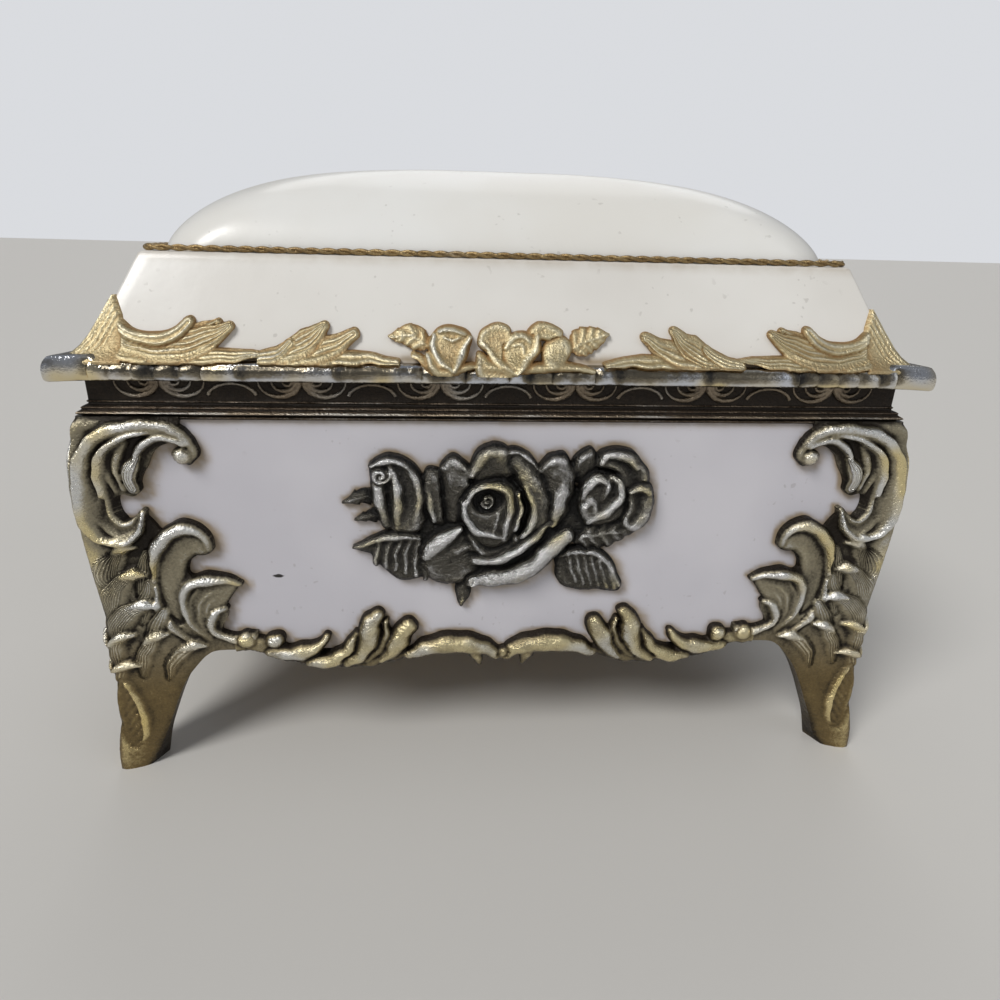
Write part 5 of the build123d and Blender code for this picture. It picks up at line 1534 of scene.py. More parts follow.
# Rose spray
@dataclass
class RoseSpray:
    """Three roses with their leaves, cast apart and fixed to the front wall."""

    pitch: float = 0.15
    back: float = 0.02

    def draw(self) -> Relief:
        """Draw the spray from the leaves at the back to the buds in front."""
        relief = Relief((-24.4, 26.8), (22.6, 54.2), self.pitch)
        relief.unsettle(0.12, 0.01)
        self._leaves(relief)
        self._outer_petals(relief)
        self._centre_rose(relief)
        self._left_bud(relief)
        self._right_rose(relief)
        relief.hammer(0.05)
        relief.soften(0.17)
        return relief

    def _leaves(self, relief: Relief) -> None:
        """Leaf tips at the left, veined leaves below and at the right."""
        relief.leaf([(-17.0, 44.6), (-20.2, 45.4), (-23.6, 44.4)], 1.3, 1.1, 3, 0.35)
        relief.leaf([(-17.0, 42.4), (-19.4, 42.4), (-22.1, 41.7)], 1.0, 1.0, 3, 0.35)
        relief.lobe([(-22.4, 37.2), (-20.2, 38.4), (-17.9, 40.0), (-13.2, 39.9), (-11.2, 38.3),
                     (-10.8, 34.2), (-13.3, 32.1), (-15.8, 32.1), (-18.3, 34.3), (-20.0, 36.4)], 1.3, 0.6,
                    1.0)
        for step in range(6):
            x = -18.9 + 1.45 * step
            relief.stroke([(x + 0.6, 38.5), (x - 0.1, 36.6), (x - 0.2, 34.9 - 0.5 * step)],
                          (0.35, 0.55, 0.4), 1.75, 0.9)
        relief.stroke([(-22.2, 37.3), (-20.0, 38.4), (-16.8, 39.3), (-12.6, 39.0)], (0.25, 0.6, 0.7, 0.5),
                      (1.4, 2.0, 2.1, 1.6), 0.9)
        relief.lobe([(7.9, 35.9), (10.1, 37.3), (13.7, 37.2), (16.7, 35.0), (18.4, 30.0), (14.6, 29.9),
                     (10.2, 30.2), (8.2, 32.0)], 1.2, 0.6, 1.0)
        for step in range(6):
            x = 9.6 + 1.25 * step
            relief.stroke([(x, 36.6 - 0.35 * step), (x + 0.7, 34.0 - 0.3 * step),
                           (x + 1.5, 31.6 - 0.25 * step)], (0.35, 0.6, 0.4), 1.6, 0.9)
        relief.stroke([(8.6, 36.0), (12.6, 36.6), (16.0, 34.6), (18.0, 30.6)], (0.3, 0.5, 0.5, 0.25), 1.7,
                      0.9)
        relief.leaf([(10.0, 38.9), (14.6, 39.6), (20.4, 40.4)], 2.7, 1.7, 6, 0.12, cut=0.35)
        relief.leaf([(-5.8, 32.0), (-6.2, 29.6), (-6.3, 27.3)], 1.15, 1.2, 2, 0.0)
        relief.lobe([(-12.0, 42.0), (-4.0, 50.0), (6.0, 50.0), (11.0, 46.0), (12.0, 40.0), (6.0, 36.0),
                     (-4.0, 33.0), (-11.0, 36.0)], 0.9, 0.8)

    def _outer_petals(self, relief: Relief) -> None:
        """Petals behind and below the centre rose."""
        petals = (
            ([(-12.3, 47.8), (-11.6, 49.6), (-10.2, 49.9), (-8.9, 48.9), (-8.0, 46.0), (-8.0, 42.0),
              (-9.1, 40.6), (-11.0, 41.4), (-12.0, 44.4)], 1.2, (-0.05, 0.04)),
            ([(-9.6, 50.0), (-8.6, 51.4), (-7.0, 51.3), (-5.4, 50.2), (-4.2, 48.3), (-5.2, 45.0),
              (-6.6, 40.8), (-8.8, 41.4), (-9.4, 46.0)], 1.5, (0.03, 0.06)),
            ([(9.4, 50.2), (10.4, 52.2), (12.2, 53.0), (13.4, 51.6), (13.4, 50.0), (11.4, 47.4),
              (9.8, 48.2)], 1.3, (0.0, 0.1)),
            ([(4.3, 49.9), (6.0, 51.4), (7.6, 52.3), (8.9, 51.7), (10.2, 48.6), (9.8, 45.0), (8.8, 41.4),
              (6.6, 40.4), (5.4, 45.0), (4.9, 48.0)], 1.7, (0.05, 0.05)),
            ([(-0.4, 52.2), (1.5, 53.0), (3.4, 51.9), (4.6, 49.8), (4.9, 47.0), (4.6, 45.0), (2.2, 45.6),
              (0.4, 49.0)], 1.6, (0.1, 0.06)),
            ([(-5.5, 48.4), (-4.9, 50.6), (-3.2, 53.0), (-1.7, 53.7), (0.2, 52.8), (1.4, 49.3),
              (-0.6, 47.6), (-4.5, 47.2)], 1.7, (0.0, 0.1)),
            ([(-12.4, 37.8), (-10.7, 39.4), (-8.2, 41.1), (-5.4, 40.5), (-3.9, 37.2), (-3.4, 34.2),
              (-5.0, 32.0), (-8.2, 31.3), (-11.2, 32.4), (-12.2, 35.1)], 1.4, (-0.06, -0.04)),
        )
        for outline, height, tilt in petals:
            relief.lobe(outline, height + 0.55, 0.55, 2.4, tilt=tuple(1.6 * value for value in tilt))
        lips = (
            ([(-11.4, 48.6), (-11.2, 45.6), (-10.5, 41.8)], (0.4, 0.6, 0.3), 2.1),
            ([(-9.1, 50.0), (-7.7, 50.9), (-6.1, 50.0), (-5.2, 48.6)], (0.4, 0.7, 0.6, 0.3), 2.3),
            ([(-5.0, 48.9), (-4.0, 51.0), (-2.4, 52.5), (-0.6, 52.4)], (0.4, 0.8, 0.8, 0.5), 2.7),
            ([(0.6, 52.2), (2.3, 51.4), (3.6, 49.6), (4.1, 47.4)], (0.5, 0.9, 0.9, 0.5), 2.5),
            ([(4.9, 49.8), (6.7, 51.2), (8.3, 51.1)], (0.4, 0.7, 0.5), 2.5),
            ([(10.1, 49.8), (10.9, 51.6), (12.2, 52.1)], (0.4, 0.6, 0.4), 2.1),
            ([(-11.9, 36.0), (-10.6, 37.6), (-8.6, 39.2), (-6.6, 40.6)], (0.5, 0.9, 0.9, 0.4), 2.6),
            ([(-9.4, 34.6), (-7.8, 36.6), (-5.6, 37.6), (-4.4, 37.0)], (0.4, 0.7, 0.6, 0.3), 2.0),
            ([(-9.6, 33.4), (-7.4, 33.0), (-5.2, 33.8)], (0.6, 0.9, 0.5), 1.7),
        )
        for points, widths, height in lips:
            wide = tuple(1.35 * width for width in widths)
            relief.stroke(points, wide, (height - 0.3, height + 0.15, height - 0.2), height - 1.2,
                          soft=0.5)
        relief.stroke([(8.6, 49.4), (8.0, 46.6), (7.4, 43.8), (6.9, 41.4)], (0.7, 1.3, 1.4, 0.8),
                      (2.3, 2.7, 2.6, 2.1), 1.4)

    def _centre_rose(self, relief: Relief) -> None:
        """Outer band, sweeping petals, the bottom roll and the wound bud."""
        relief.stroke([(1.4, 51.0), (3.4, 48.3), (4.9, 45.0), (4.8, 42.0), (3.2, 38.8)],
                      (1.2, 1.7, 1.8, 1.6, 1.0), (2.0, 2.4, 2.5, 2.3, 1.8), 1.1, over=True)
        relief.stroke([(2.6, 47.4), (4.0, 44.4), (3.8, 41.6), (2.2, 38.8)], (0.35, 0.6, 0.7, 0.4),
                      (2.6, 3.0, 3.0, 2.4), 1.6)
        relief.lobe([(-5.4, 40.0), (-3.8, 36.2), (-0.5, 36.0), (2.6, 38.4), (0.6, 40.2)], 1.8, 1.1, 0.9,
                    rim=0.4, rim_width=0.6)
        relief.stroke([(-4.6, 35.4), (-1.2, 35.6), (2.0, 37.3), (4.6, 39.4), (6.6, 41.6)],
                      (0.8, 1.05, 1.1, 0.95, 0.45), (2.1, 2.6, 2.8, 2.4, 1.9), 1.0, over=True)
        relief.stroke([(-5.0, 31.9), (-3.0, 32.2), (-0.6, 32.5), (2.4, 33.2), (4.9, 34.9), (6.7, 37.0),
                       (9.2, 39.2)], (1.2, 1.55, 1.7, 1.75, 1.7, 1.6, 1.4),
                      (1.8, 2.5, 2.8, 2.8, 2.8, 2.7, 2.3), 0.5, over=True)
        relief.curl((-4.5, 31.8), 0.9, 1.1, 0.24, 2.6, 60)
        bud = [(-6.8, 44.4), (-5.8, 46.8), (-3.3, 48.1), (-0.2, 48.4), (1.9, 46.3), (2.5, 42.7),
               (1.2, 39.0), (-0.9, 37.4), (-3.8, 38.0), (-5.9, 41.0)]
        relief.lobe(bud, 2.2, 1.0, 1.5)
        relief.lobe([(-5.2, 45.2), (-4.0, 46.6), (-2.1, 47.0), (-0.6, 46.0), (-0.6, 44.2), (-2.2, 43.2),
                     (-4.2, 43.4)], 1.3, 2.1, 0.9)
        relief.stroke([(-6.2, 44.8), (-5.8, 42.4), (-4.4, 40.6), (-2.2, 39.8), (-0.4, 39.4)],
                      (0.45, 0.65, 0.7, 0.65, 0.4), (2.8, 3.0, 3.0, 2.9, 2.5), 1.6)
        relief.stroke([(-5.8, 45.0), (-4.5, 46.9), (-2.2, 47.6), (0.0, 46.8), (0.6, 44.0), (0.1, 41.7),
                       (-0.2, 38.8)], (0.4, 0.55, 0.6, 0.65, 0.7, 0.6, 0.35),
                      (2.8, 3.1, 3.2, 3.3, 3.2, 3.0, 2.4), 1.5)
        relief.curl((-2.7, 45.0), 1.05, 1.4, 0.24, 2.5, 200)
        relief.stroke([(1.9, 46.2), (2.2, 43.4), (1.4, 40.4)], (0.3, 0.45, 0.3), 2.7, 1.8)
        relief.stroke([(-1.2, 43.2), (-1.4, 41.6), (-1.6, 40.4)], (0.4, 0.6, 0.4), 2.5, 1.6)

    def _left_bud(self, relief: Relief) -> None:
        """The closed bud at the left, rolled like a scroll."""
        outline = [(-19.6, 49.2), (-19.0, 51.0), (-16.6, 51.9), (-13.9, 51.0), (-12.1, 48.6),
                   (-11.7, 45.0), (-12.2, 40.4), (-15.4, 39.8), (-17.8, 41.0), (-18.9, 44.4)]
        relief.lobe(outline, 1.9, 0.8, 1.5)
        relief.stroke([(-18.3, 48.4), (-18.2, 45.4), (-17.2, 41.2)], (1.2, 1.15, 0.8), (2.6, 2.5, 1.8),
                      0.9, over=True)
        relief.stroke([(-16.6, 50.2), (-15.9, 48.6), (-15.6, 45.4), (-15.9, 40.6)], (0.5, 1.0, 1.05, 0.6),
                      (2.5, 2.9, 2.8, 1.9), 1.0)
        relief.stroke([(-14.8, 50.8), (-13.2, 48.6), (-12.6, 45.2), (-13.5, 40.8)], (0.6, 0.95, 0.9, 0.5),
                      (2.0, 2.5, 2.4, 1.7), 0.9)
        relief.stroke([(-19.2, 50.2), (-16.8, 51.2), (-14.4, 50.4)], (0.5, 0.8, 0.6), (2.4, 2.6, 2.3), 1.2)
        relief.ball((-18.0, 49.0), 1.5, 2.3, 1.5)
        relief.curl((-18.0, 49.0), 1.35, -1.4, 0.27, 3.1, 30)

    def _right_rose(self, relief: Relief) -> None:
        """The half-open rose at the right inside its two large petals."""
        relief.lobe([(12.8, 50.2), (13.6, 52.4), (16.6, 53.1), (19.1, 51.8), (21.0, 48.7), (20.6, 46.0),
                     (17.6, 46.3), (15.7, 49.4)], 1.7, 0.9, 1.0, rim=0.5, rim_width=0.8,
                    tilt=(0.03, 0.05))
        relief.lobe([(17.7, 46.9), (21.1, 47.9), (22.0, 44.6), (21.4, 41.7), (19.3, 39.8), (17.2, 41.4),
                     (17.7, 44.6)], 1.8, 0.9, 1.0, rim=0.5, rim_width=0.8, tilt=(0.05, 0.0))
        relief.stroke([(13.5, 50.9), (14.7, 52.1), (17.0, 51.9), (18.8, 50.2)], (0.45, 0.8, 0.8, 0.4),
                      (2.6, 2.9, 2.6), 1.6)
        relief.stroke([(18.1, 46.5), (19.7, 47.0), (21.0, 46.4)], (0.4, 0.65, 0.4), 2.8, 1.7)
        relief.stroke([(20.6, 45.0), (20.4, 42.6), (19.0, 40.8)], (0.5, 0.9, 0.5), 2.4, 1.4)
        bud = [(10.6, 46.3), (11.5, 48.7), (14.1, 49.7), (16.5, 48.4), (17.8, 46.3), (17.6, 42.6),
               (14.7, 41.0), (12.3, 41.2), (10.8, 43.3)]
        relief.lobe(bud, 2.2, 0.9, 1.5)
        relief.stroke([(12.2, 41.6), (14.6, 43.3), (16.6, 45.6), (16.6, 47.6), (15.2, 48.9)],
                      (0.5, 0.9, 0.95, 0.75, 0.45), (2.2, 3.0, 3.2, 3.1, 2.7), 1.4)
        relief.stroke([(11.2, 45.4), (11.9, 47.4), (13.4, 48.5), (14.8, 47.6), (14.2, 45.2)],
                      (0.5, 0.8, 0.75, 0.65, 0.4), (2.3, 2.9, 3.0, 2.9, 2.3), 1.4)
        relief.stroke([(11.4, 44.0), (12.6, 45.4), (13.2, 43.4)], (0.6, 0.85, 0.6), 2.6, 1.5)

    def build(self, relief: Relief) -> bpy.types.Object:
        """Raise the spray in front of the front wall."""
        def put(x: Grid, z: Grid, out: Grid) -> Grid:
            """Point for a place on the front wall."""
            return Side.FRONT.points(x, PLAN.face_y + out, z)

        piece = casting("rose_spray_casting", *relief.solid(put, self.back))
        SPRAY_PEWTER.dress(piece)
        return piece


# Mouldings, frieze and rim
@dataclass
class Band:
    """A moulded ring round the box: a section carried along a rectangle with mitred corners."""

    name: str
    section: Sequence[tuple[float, float, float]]
    half_x: float
    half_y: float
    wobble: float = 0.03
    waves: int = 20
    spacing: float = 0.8

    def build(self) -> bpy.types.Object:
        """Carry the section round the box.

        Returns:
            The ring, whose wear comes from the section's third values.
        """
        path, outward = [], []
        corners = ((1, -1), (1, 1), (-1, 1), (-1, -1))
        for index, (sx, sy) in enumerate(corners):
            nx, ny = corners[(index + 1) % 4]
            start = np.array([sx * self.half_x, sy * self.half_y])
            end = np.array([nx * self.half_x, ny * self.half_y])
            length = np.linalg.norm(end - start)
            count = int(length / self.spacing)
            face = np.array([end[1] - start[1], start[0] - end[0]]) / length
            path.append(start)
            outward.append(np.array([sx, sy], float))
            for share in np.arange(1, count) / count:
                path.append(start + share * (end - start))
                outward.append(face)
        path, outward = np.array(path), np.array(outward)
        turn = np.linspace(0, 2 * math.pi * self.waves, len(path))
        section = np.asarray(self.section, float)
        rings = []
        for index, (out, z, _) in enumerate(section):
            live = 1.0 if out > -0.5 else 0.0
            uneven = self.wobble * live * wave(turn, 0.7 * index)
            ring = path + outward * (out + uneven)[:, None]
            rise = z + 0.5 * self.wobble * live * wave(turn * 1.3, 1.9 * index)
            rings.append(at_height(ring, rise))
        wear = np.repeat(section[:, 2], len(path))
        points = np.vstack(rings)
        return new_object(self.name, points, ring_faces(len(section), len(path)), {"wear": wear}, 40.0)


# The section's third values set rubbing and painted light: low under the projecting bead as painted
# shadow, high on its crests as rubbing and painted highlight.
BASE_MOULDING = Band(
    "base_moulding",
    (
        (-1.8, 56.45, 0.3), (0.18, 56.45, 0.3), (0.5, 56.62, 0.62), (0.56, 56.8, 0.74),
        (0.44, 56.98, 0.4), (0.3, 57.06, 0.1), (0.5, 57.14, 0.2), (0.86, 57.28, 0.6), (0.98, 57.44, 0.98),
        (0.84, 57.6, 0.8), (0.5, 57.78, 0.34), (0.34, 57.92, 0.25), (0.44, 58.04, 0.6),
        (0.38, 58.18, 0.7), (0.1, 58.34, 0.3), (-0.3, 58.44, 0.12), (-0.36, 58.66, 0.2),
        (-0.2, 58.78, 0.74), (-0.2, 58.9, 0.74), (-0.36, 59.02, 0.2), (-0.38, 59.2, 0.3),
        (-0.38, 61.86, 0.3), (-1.8, 61.86, 0.3),
    ),
    PLAN.face_x, PLAN.face_y,
)


@dataclass
class FriezeShells:
    """Pairs of nested shells with an arch between, repeated along the frieze by Geometry Nodes."""

    period: float = 17.8
    shell_offset: float = 3.15
    shell_radius: float = 2.75
    line: float = 0.27
    top: float = 61.75
    arch_radius: float = 3.1
    inset: float = 0.38
    wear: float = 0.82

    def pattern(self) -> bpy.types.NodeTree:
        """Node tree that sets a shell group or an arch on each point of a line."""
        tree, given = start_pattern("frieze_shells", {
            "Shell Radius": self.shell_radius, "Shell Offset": self.shell_offset,
            "Arch Radius": self.arch_radius, "Line Radius": self.line,
        })
        arcs = []
        for hand in (-1, 1):
            for share, thick in ((1.0, (0.35, 2.2)), (0.6, (0.35, 2.4)), (0.26, (0.5, 1.8))):
                radius = tree.term(given, "Shell Radius") * share
                nested = tree.term(given, "Shell Radius") * (0.62 * hand * (1.0 - share))
                offset = tree.term(given, "Shell Offset") * float(hand) - nested
                taper = thick if hand < 0 else thick[::-1]
                arcs.append(self._arc(tree, given, radius, offset, 180.0, 180.0, 0.78, taper, 0.0))
        motif = tree.node("GeometryNodeJoinGeometry")
        for arc in arcs:
            tree.nodes.links.new(arc, motif.inputs[0])
        arch_radius = tree.term(given, "Arch Radius")
        arch = self._arc(tree, given, arch_radius, arch_radius * 0.0, 12.0, 156.0, 0.62, (1.0, 1.0), -2.35)
        is_arch = tree.term(tree.node("GeometryNodeInputNamedAttribute", None, {"Name": "arch"}))
        both = tree.node("GeometryNodeJoinGeometry")
        for piece, chosen in ((motif.outputs[0], is_arch.math("LESS_THAN", 0.5)), (arch, is_arch)):
            placed = tree.node(
                "GeometryNodeInstanceOnPoints", None,
                {"Points": given.outputs["Geometry"], "Instance": piece, "Selection": chosen},
            )
            tree.nodes.links.new(placed.outputs[0], both.inputs[0])
        return end_pattern(tree, both, FRIEZE_PEWTER, self.wear)

    @staticmethod
    def _arc(
        tree: Tree, given: bpy.types.Node, radius: Term, offset: Term, start: float, sweep: float,
        flat: float, taper: tuple[float, float], drop: float,
    ) -> bpy.types.NodeSocket:
        """One half-round line along an arc that stands upright.

        Args:
            tree: The node tree.
            given: The tree's input node.
            radius: Radius of the arc.
            offset: Shift along the frieze.
            start: Starting angle in degrees.
            sweep: Sweep in degrees.
            flat: Share of the height that is kept.
            taper: Shares of the line's radius at the arc's start and end.
            drop: Shift upwards in millimetres.

        Returns:
            Socket with the line's mesh.
        """
        arc = tree.node(
            "GeometryNodeCurveArc", None,
            {"Resolution": 14, "Radius": radius, "Start Angle": math.radians(start),
             "Sweep Angle": math.radians(sweep)},
        )
        shift = tree.node("ShaderNodeCombineXYZ", None, {"X": offset, "Z": drop * MM})
        upright = tree.node(
            "GeometryNodeTransform", None,
            {"Geometry": arc.outputs[0], "Translation": shift.outputs[0],
             "Rotation": (math.radians(90), 0.0, 0.0), "Scale": (1.0, flat, 1.0)},
        )
        along = tree.term(tree.node("GeometryNodeSplineParameter"), "Factor")
        swelling = along * (taper[1] - taper[0]) + taper[0]
        profile = tree.node(
            "GeometryNodeCurvePrimitiveCircle", None,
            {"Resolution": 8, "Radius": given.outputs["Line Radius"]},
        )
        tube = tree.node(
            "GeometryNodeCurveToMesh", None,
            {"Curve": upright.outputs[0], "Profile Curve": profile.outputs[0], "Scale": swelling,
             "Fill Caps": True},
        )
        return tube.outputs[0]

    def build(self) -> list[bpy.types.Object]:
        """Set the shells along the four walls."""
        pieces = []
        pattern = self.pattern()
        for side in Side:
            half = PLAN.half(side)
            count = round(2 * half / self.period)
            step = (2 * half - 1.0) / count
            places = (np.arange(2 * count - 1) / 2 - (count - 1) / 2) * step
            anchors = bpy.data.meshes.new("anchors")
            anchors.from_pydata([(x * MM, 0.0, 0.0) for x in places], [], [])
            kinds = anchors.attributes.new("arch", "FLOAT", "POINT")
            kinds.data.foreach_set("value", (np.arange(len(places)) % 2).astype(np.float32))
            holder = bpy.data.objects.new(side.named("frieze_shells"), anchors)
            holder = grow(holder, pattern, {"Arch Radius": self.arch_radius * step / self.period * MM})
            along, outward = (Vector((*v, 0.0)) for v in side.value)
            turn = Matrix((along, -outward, (0, 0, 1))).transposed().to_4x4()
            shift = outward * (PLAN.face(side) - self.inset) + Vector((0, 0, self.top))
            holder.data.transform(Matrix.Translation(shift * MM) @ turn)
            FRIEZE_PEWTER.dress(holder)
            pieces.append(holder)
        return pieces


@dataclass
class LidRim:
    """The lid's overhanging rim, wavy along its polished edge and flared out at its corners."""

    tip: float = 1.26
    tip_length: float = 9.0
    inner: float = 3.4
    long_steps: int = 300
    short_steps: int = 210
    boss: float = 3.0
    first_boss: float = 5.6
    bosses: int = 4
    flower_bosses: float = 4.5
    notch: float = 3.0
    waves: int = 26

    def loop(self, out: Grid) -> Grid:
        """Outline of the rim moved outwards by a distance at each of its points."""
        long_end, short_end = PLAN.rim_x + self.tip, PLAN.rim_y + self.tip
        along_x = np.linspace(-1, 1, self.long_steps + 1)[:-1]
        along_y = np.linspace(-1, 1, self.short_steps + 1)[:-1]
        first, second = np.split(out[: len(out) // 2], [self.long_steps])
        third, fourth = np.split(out[len(out) // 2 :], [self.long_steps])
        flare_x = self.tip * np.clip(1 - (1 - np.abs(along_x)) * long_end / self.tip_length, 0, 1) ** 2.2
        flare_y = self.tip * np.clip(1 - (1 - np.abs(along_y)) * short_end / self.tip_length, 0, 1) ** 2.2
        front = np.column_stack([along_x * (long_end + first), -PLAN.rim_y - flare_x - first])
        right = np.column_stack([PLAN.rim_x + flare_y + second, along_y * (short_end + second)])
        back = np.column_stack([-along_x * (long_end + third), PLAN.rim_y + flare_x + third])
        left = np.column_stack([-PLAN.rim_x - flare_y - fourth, -along_y * (short_end + fourth)])
        return np.vstack([front, right, back, left])

    def build(self) -> bpy.types.Object:
        """Carry the rim's section round the lid."""
        count = 2 * (self.long_steps + self.short_steps)
        path = self.loop(np.zeros(count))
        # The section's fourth values set rubbing and painted light: bright on the lower rounded edge and
        # the top lip as polish and painted highlight, darker down the middle of the face.
        section = (
            (0.0, -self.inner, 61.95, 0.3), (0.0, -0.6, 61.92, 0.2), (0.3, -0.15, 61.96, 0.5),
            (0.8, 0.12, 62.12, 0.85), (1.0, 0.24, 62.36, 0.8), (1.0, 0.3, 62.66, 0.62),
            (1.0, 0.32, 62.96, 0.56), (1.0, 0.3, 63.26, 0.55), (1.0, 0.22, 63.56, 0.52),
            (1.0, 0.06, 63.84, 0.46), (1.0, -0.12, 64.04, 0.5), (0.8, -0.22, 64.2, 0.72),
            (0.5, -0.36, 64.36, 0.8), (0.2, -0.7, 64.46, 0.6), (0.0, -self.inner, 64.5, 0.4),
        )
        turn = np.linspace(0, 2 * math.pi * self.waves, count)
        from_tip = np.hypot(np.abs(path[:, 0]) - PLAN.rim_x, np.abs(path[:, 1]) - PLAN.rim_y)
        from_boss = from_tip - self.first_boss
        bossed = (from_boss > 0) & (from_boss < self.bosses * self.boss)
        from_middle = np.abs(path[:, 0])
        flowers = (np.abs(path[:, 1]) > PLAN.rim_y - 0.1) & (from_middle < self.flower_bosses * self.boss)
        lobes = np.sqrt(np.abs(np.sin(math.pi * np.where(flowers, from_middle, from_boss) / self.boss)))
        notches = np.where(bossed | flowers, 1 - lobes, 0.0)
        notches = notches + 0.9 * np.exp(-(((from_tip - self.notch) / 0.5) ** 2))
        bulge = 0.08 * wave(turn, 0.4, 4) + 0.12 * (bossed | flowers) - 0.5 * notches
        rings = []
        for live, out, z, _ in section:
            ring = self.loop(out + live * bulge)
            lift = live * (0.1 * wave(turn * 0.8, 2.0, 3) if z < 63 else 0.05 * wave(turn, 1.0, 3))
            lift = lift + np.clip(z - 62.6, 0, 1.4) * 0.6 * np.clip((5.0 - from_tip) / 2.4, 0, 1)
            rings.append(at_height(ring, z + lift))
        wear = np.concatenate([np.full(len(path), value[3]) for value in section])
        # Brighter towards each corner tip as polish and painted highlight, darker in the notches, with
        # uneven patches.
        polish_and_highlight = 0.3 * np.clip((6.0 - from_tip) / 2.0, 0, 1)
        patches = np.tile(0.26 * wave(turn * 0.9, 3.1, 6) - 0.3 * notches + polish_and_highlight, len(section))
        live = np.repeat([value[0] for value in section], len(path))
        wear = np.clip(wear + patches * live, 0, 1)
        quads = ring_faces(len(section), len(path))
        piece = new_object("lid_rim", np.vstack(rings), quads, {"wear": wear}, 50.0)
        RIM_PLATE.dress(piece)
        return piece


# Lid
@dataclass
class LidEnamel:
    """The lid's four sloping enamelled faces and its flat top under the dome."""

    arc: int = 5
    span: int = 60

    def build(self) -> bpy.types.Object:
        """Carry rounded rectangles up the slope, over the top and down inside."""
        plan = PLAN
        levels = np.linspace(plan.rim_top - 0.2, plan.lid_top - 0.35, 22)
        loops = [(plan.lid_half(z, True), plan.lid_half(z, False), z, 0.5) for z in levels]
        top_x, top_y = plan.lid_high_x, plan.lid_high_y
        inside = (loops[0][0] - plan.lid_wall, loops[0][1] - plan.lid_wall)
        under = (top_x - plan.lid_wall + 0.6, top_y - plan.lid_wall + 0.6)
        loops += [
            (top_x - 0.1, top_y - 0.1, plan.lid_top - 0.1, 0.5),
            (top_x - 0.4, top_y - 0.4, plan.lid_top, 0.5),
            (top_x - 3.6, top_y - 3.6, plan.lid_top, 5.5),
            (top_x - 3.6, top_y - 3.6, plan.lid_top - 1.3, 5.5),
            (*under, plan.lid_top - 1.3, 0.5),
            (*inside, levels[0], 0.5),
        ]
        rings = [at_height(rounded_rectangle(x, y, r, self.arc, self.span), z) for x, y, z, r in loops]
        points = np.vstack(rings)
        height = points[:, 2]
        # Darker bands at the slopes' foot by the rim and at their top under the dome: grime with painted
        # shade in these creases.
        low = np.exp(-np.abs(height - plan.rim_top - 0.3) / 1.0)
        high = 0.55 * np.exp(-np.abs(height - plan.lid_top + 0.5) / 0.9)
        soil = {"soil": np.maximum(low, high)}
        piece = new_object("lid_enamel_slopes", points, ring_faces(len(rings), len(rings[0])), soil, 40.0)
        LID_ENAMEL.dress(piece)
        return piece


@dataclass
class Dome:
    """The enamelled pillow on the lid, hollow underneath."""

    half_x: float = 48.8
    half_y: float = 32.08
    corner: float = 8.0
    rise: float = 12.8
    wall: float = 1.0
    squareness: float = 3.9
    fullness: float = 1.48
    rings: int = 46

    def shell(self, half_x: float, half_y: float, rise: float, rings: int) -> list[Grid]:
        """Loops of the pillow from its foot to its crown.

        Args:
            half_x: Half length at the foot.
            half_y: Half depth at the foot.
            rise: Height of the crown.
            rings: Number of loops.

        Returns:
            Loops of points, the last one very small.
        """
        loops = []
        for angle in np.linspace(0, math.pi / 2, rings + 1)[:-1]:
            share = math.cos(angle) ** (2 / self.squareness)
            level = math.sin(angle) ** (2 / self.fullness)
            radius = min(self.corner + (1 - share) * 2 * half_y * share * 0.4, half_y * share * 0.92)
            outline = rounded_rectangle(half_x * share, half_y * share, radius, 10, 26)
            loops.append(at_height(outline, PLAN.lid_top + rise * level))
        return loops

    def build(self) -> bpy.types.Object:
        """Make the outer and inner skins and close them."""
        outer = self.shell(self.half_x, self.half_y, self.rise, self.rings)
        inner = self.shell(self.half_x - self.wall, self.half_y - self.wall, self.rise - self.wall, 16)
        rings = inner[::-1] + outer
        around = len(outer[0])
        crown = PLAN.lid_top + self.rise
        points = np.vstack([*rings, [[0, 0, crown - self.wall]], [[0, 0, crown]]])
        faces = [list(q) for q in ring_faces(len(rings), around, False)]
        low, high = len(points) - 2, len(points) - 1
        last = (len(rings) - 1) * around
        for step in range(around):
            after = (step + 1) % around
            faces.append([after, step, low])
            faces.append([last + step, last + after, high])
        height = points[:, 2] - PLAN.lid_top
        # Darker towards the foot by the rope: yellowed grime with painted shade.
        soil = 0.75 * np.exp(-np.clip(height, 0, 20) / 0.8)
        piece = new_object("dome_pillow", points, faces, {"soil": soil}, 40.0)
        DOME_ENAMEL.dress(piece)
        return piece


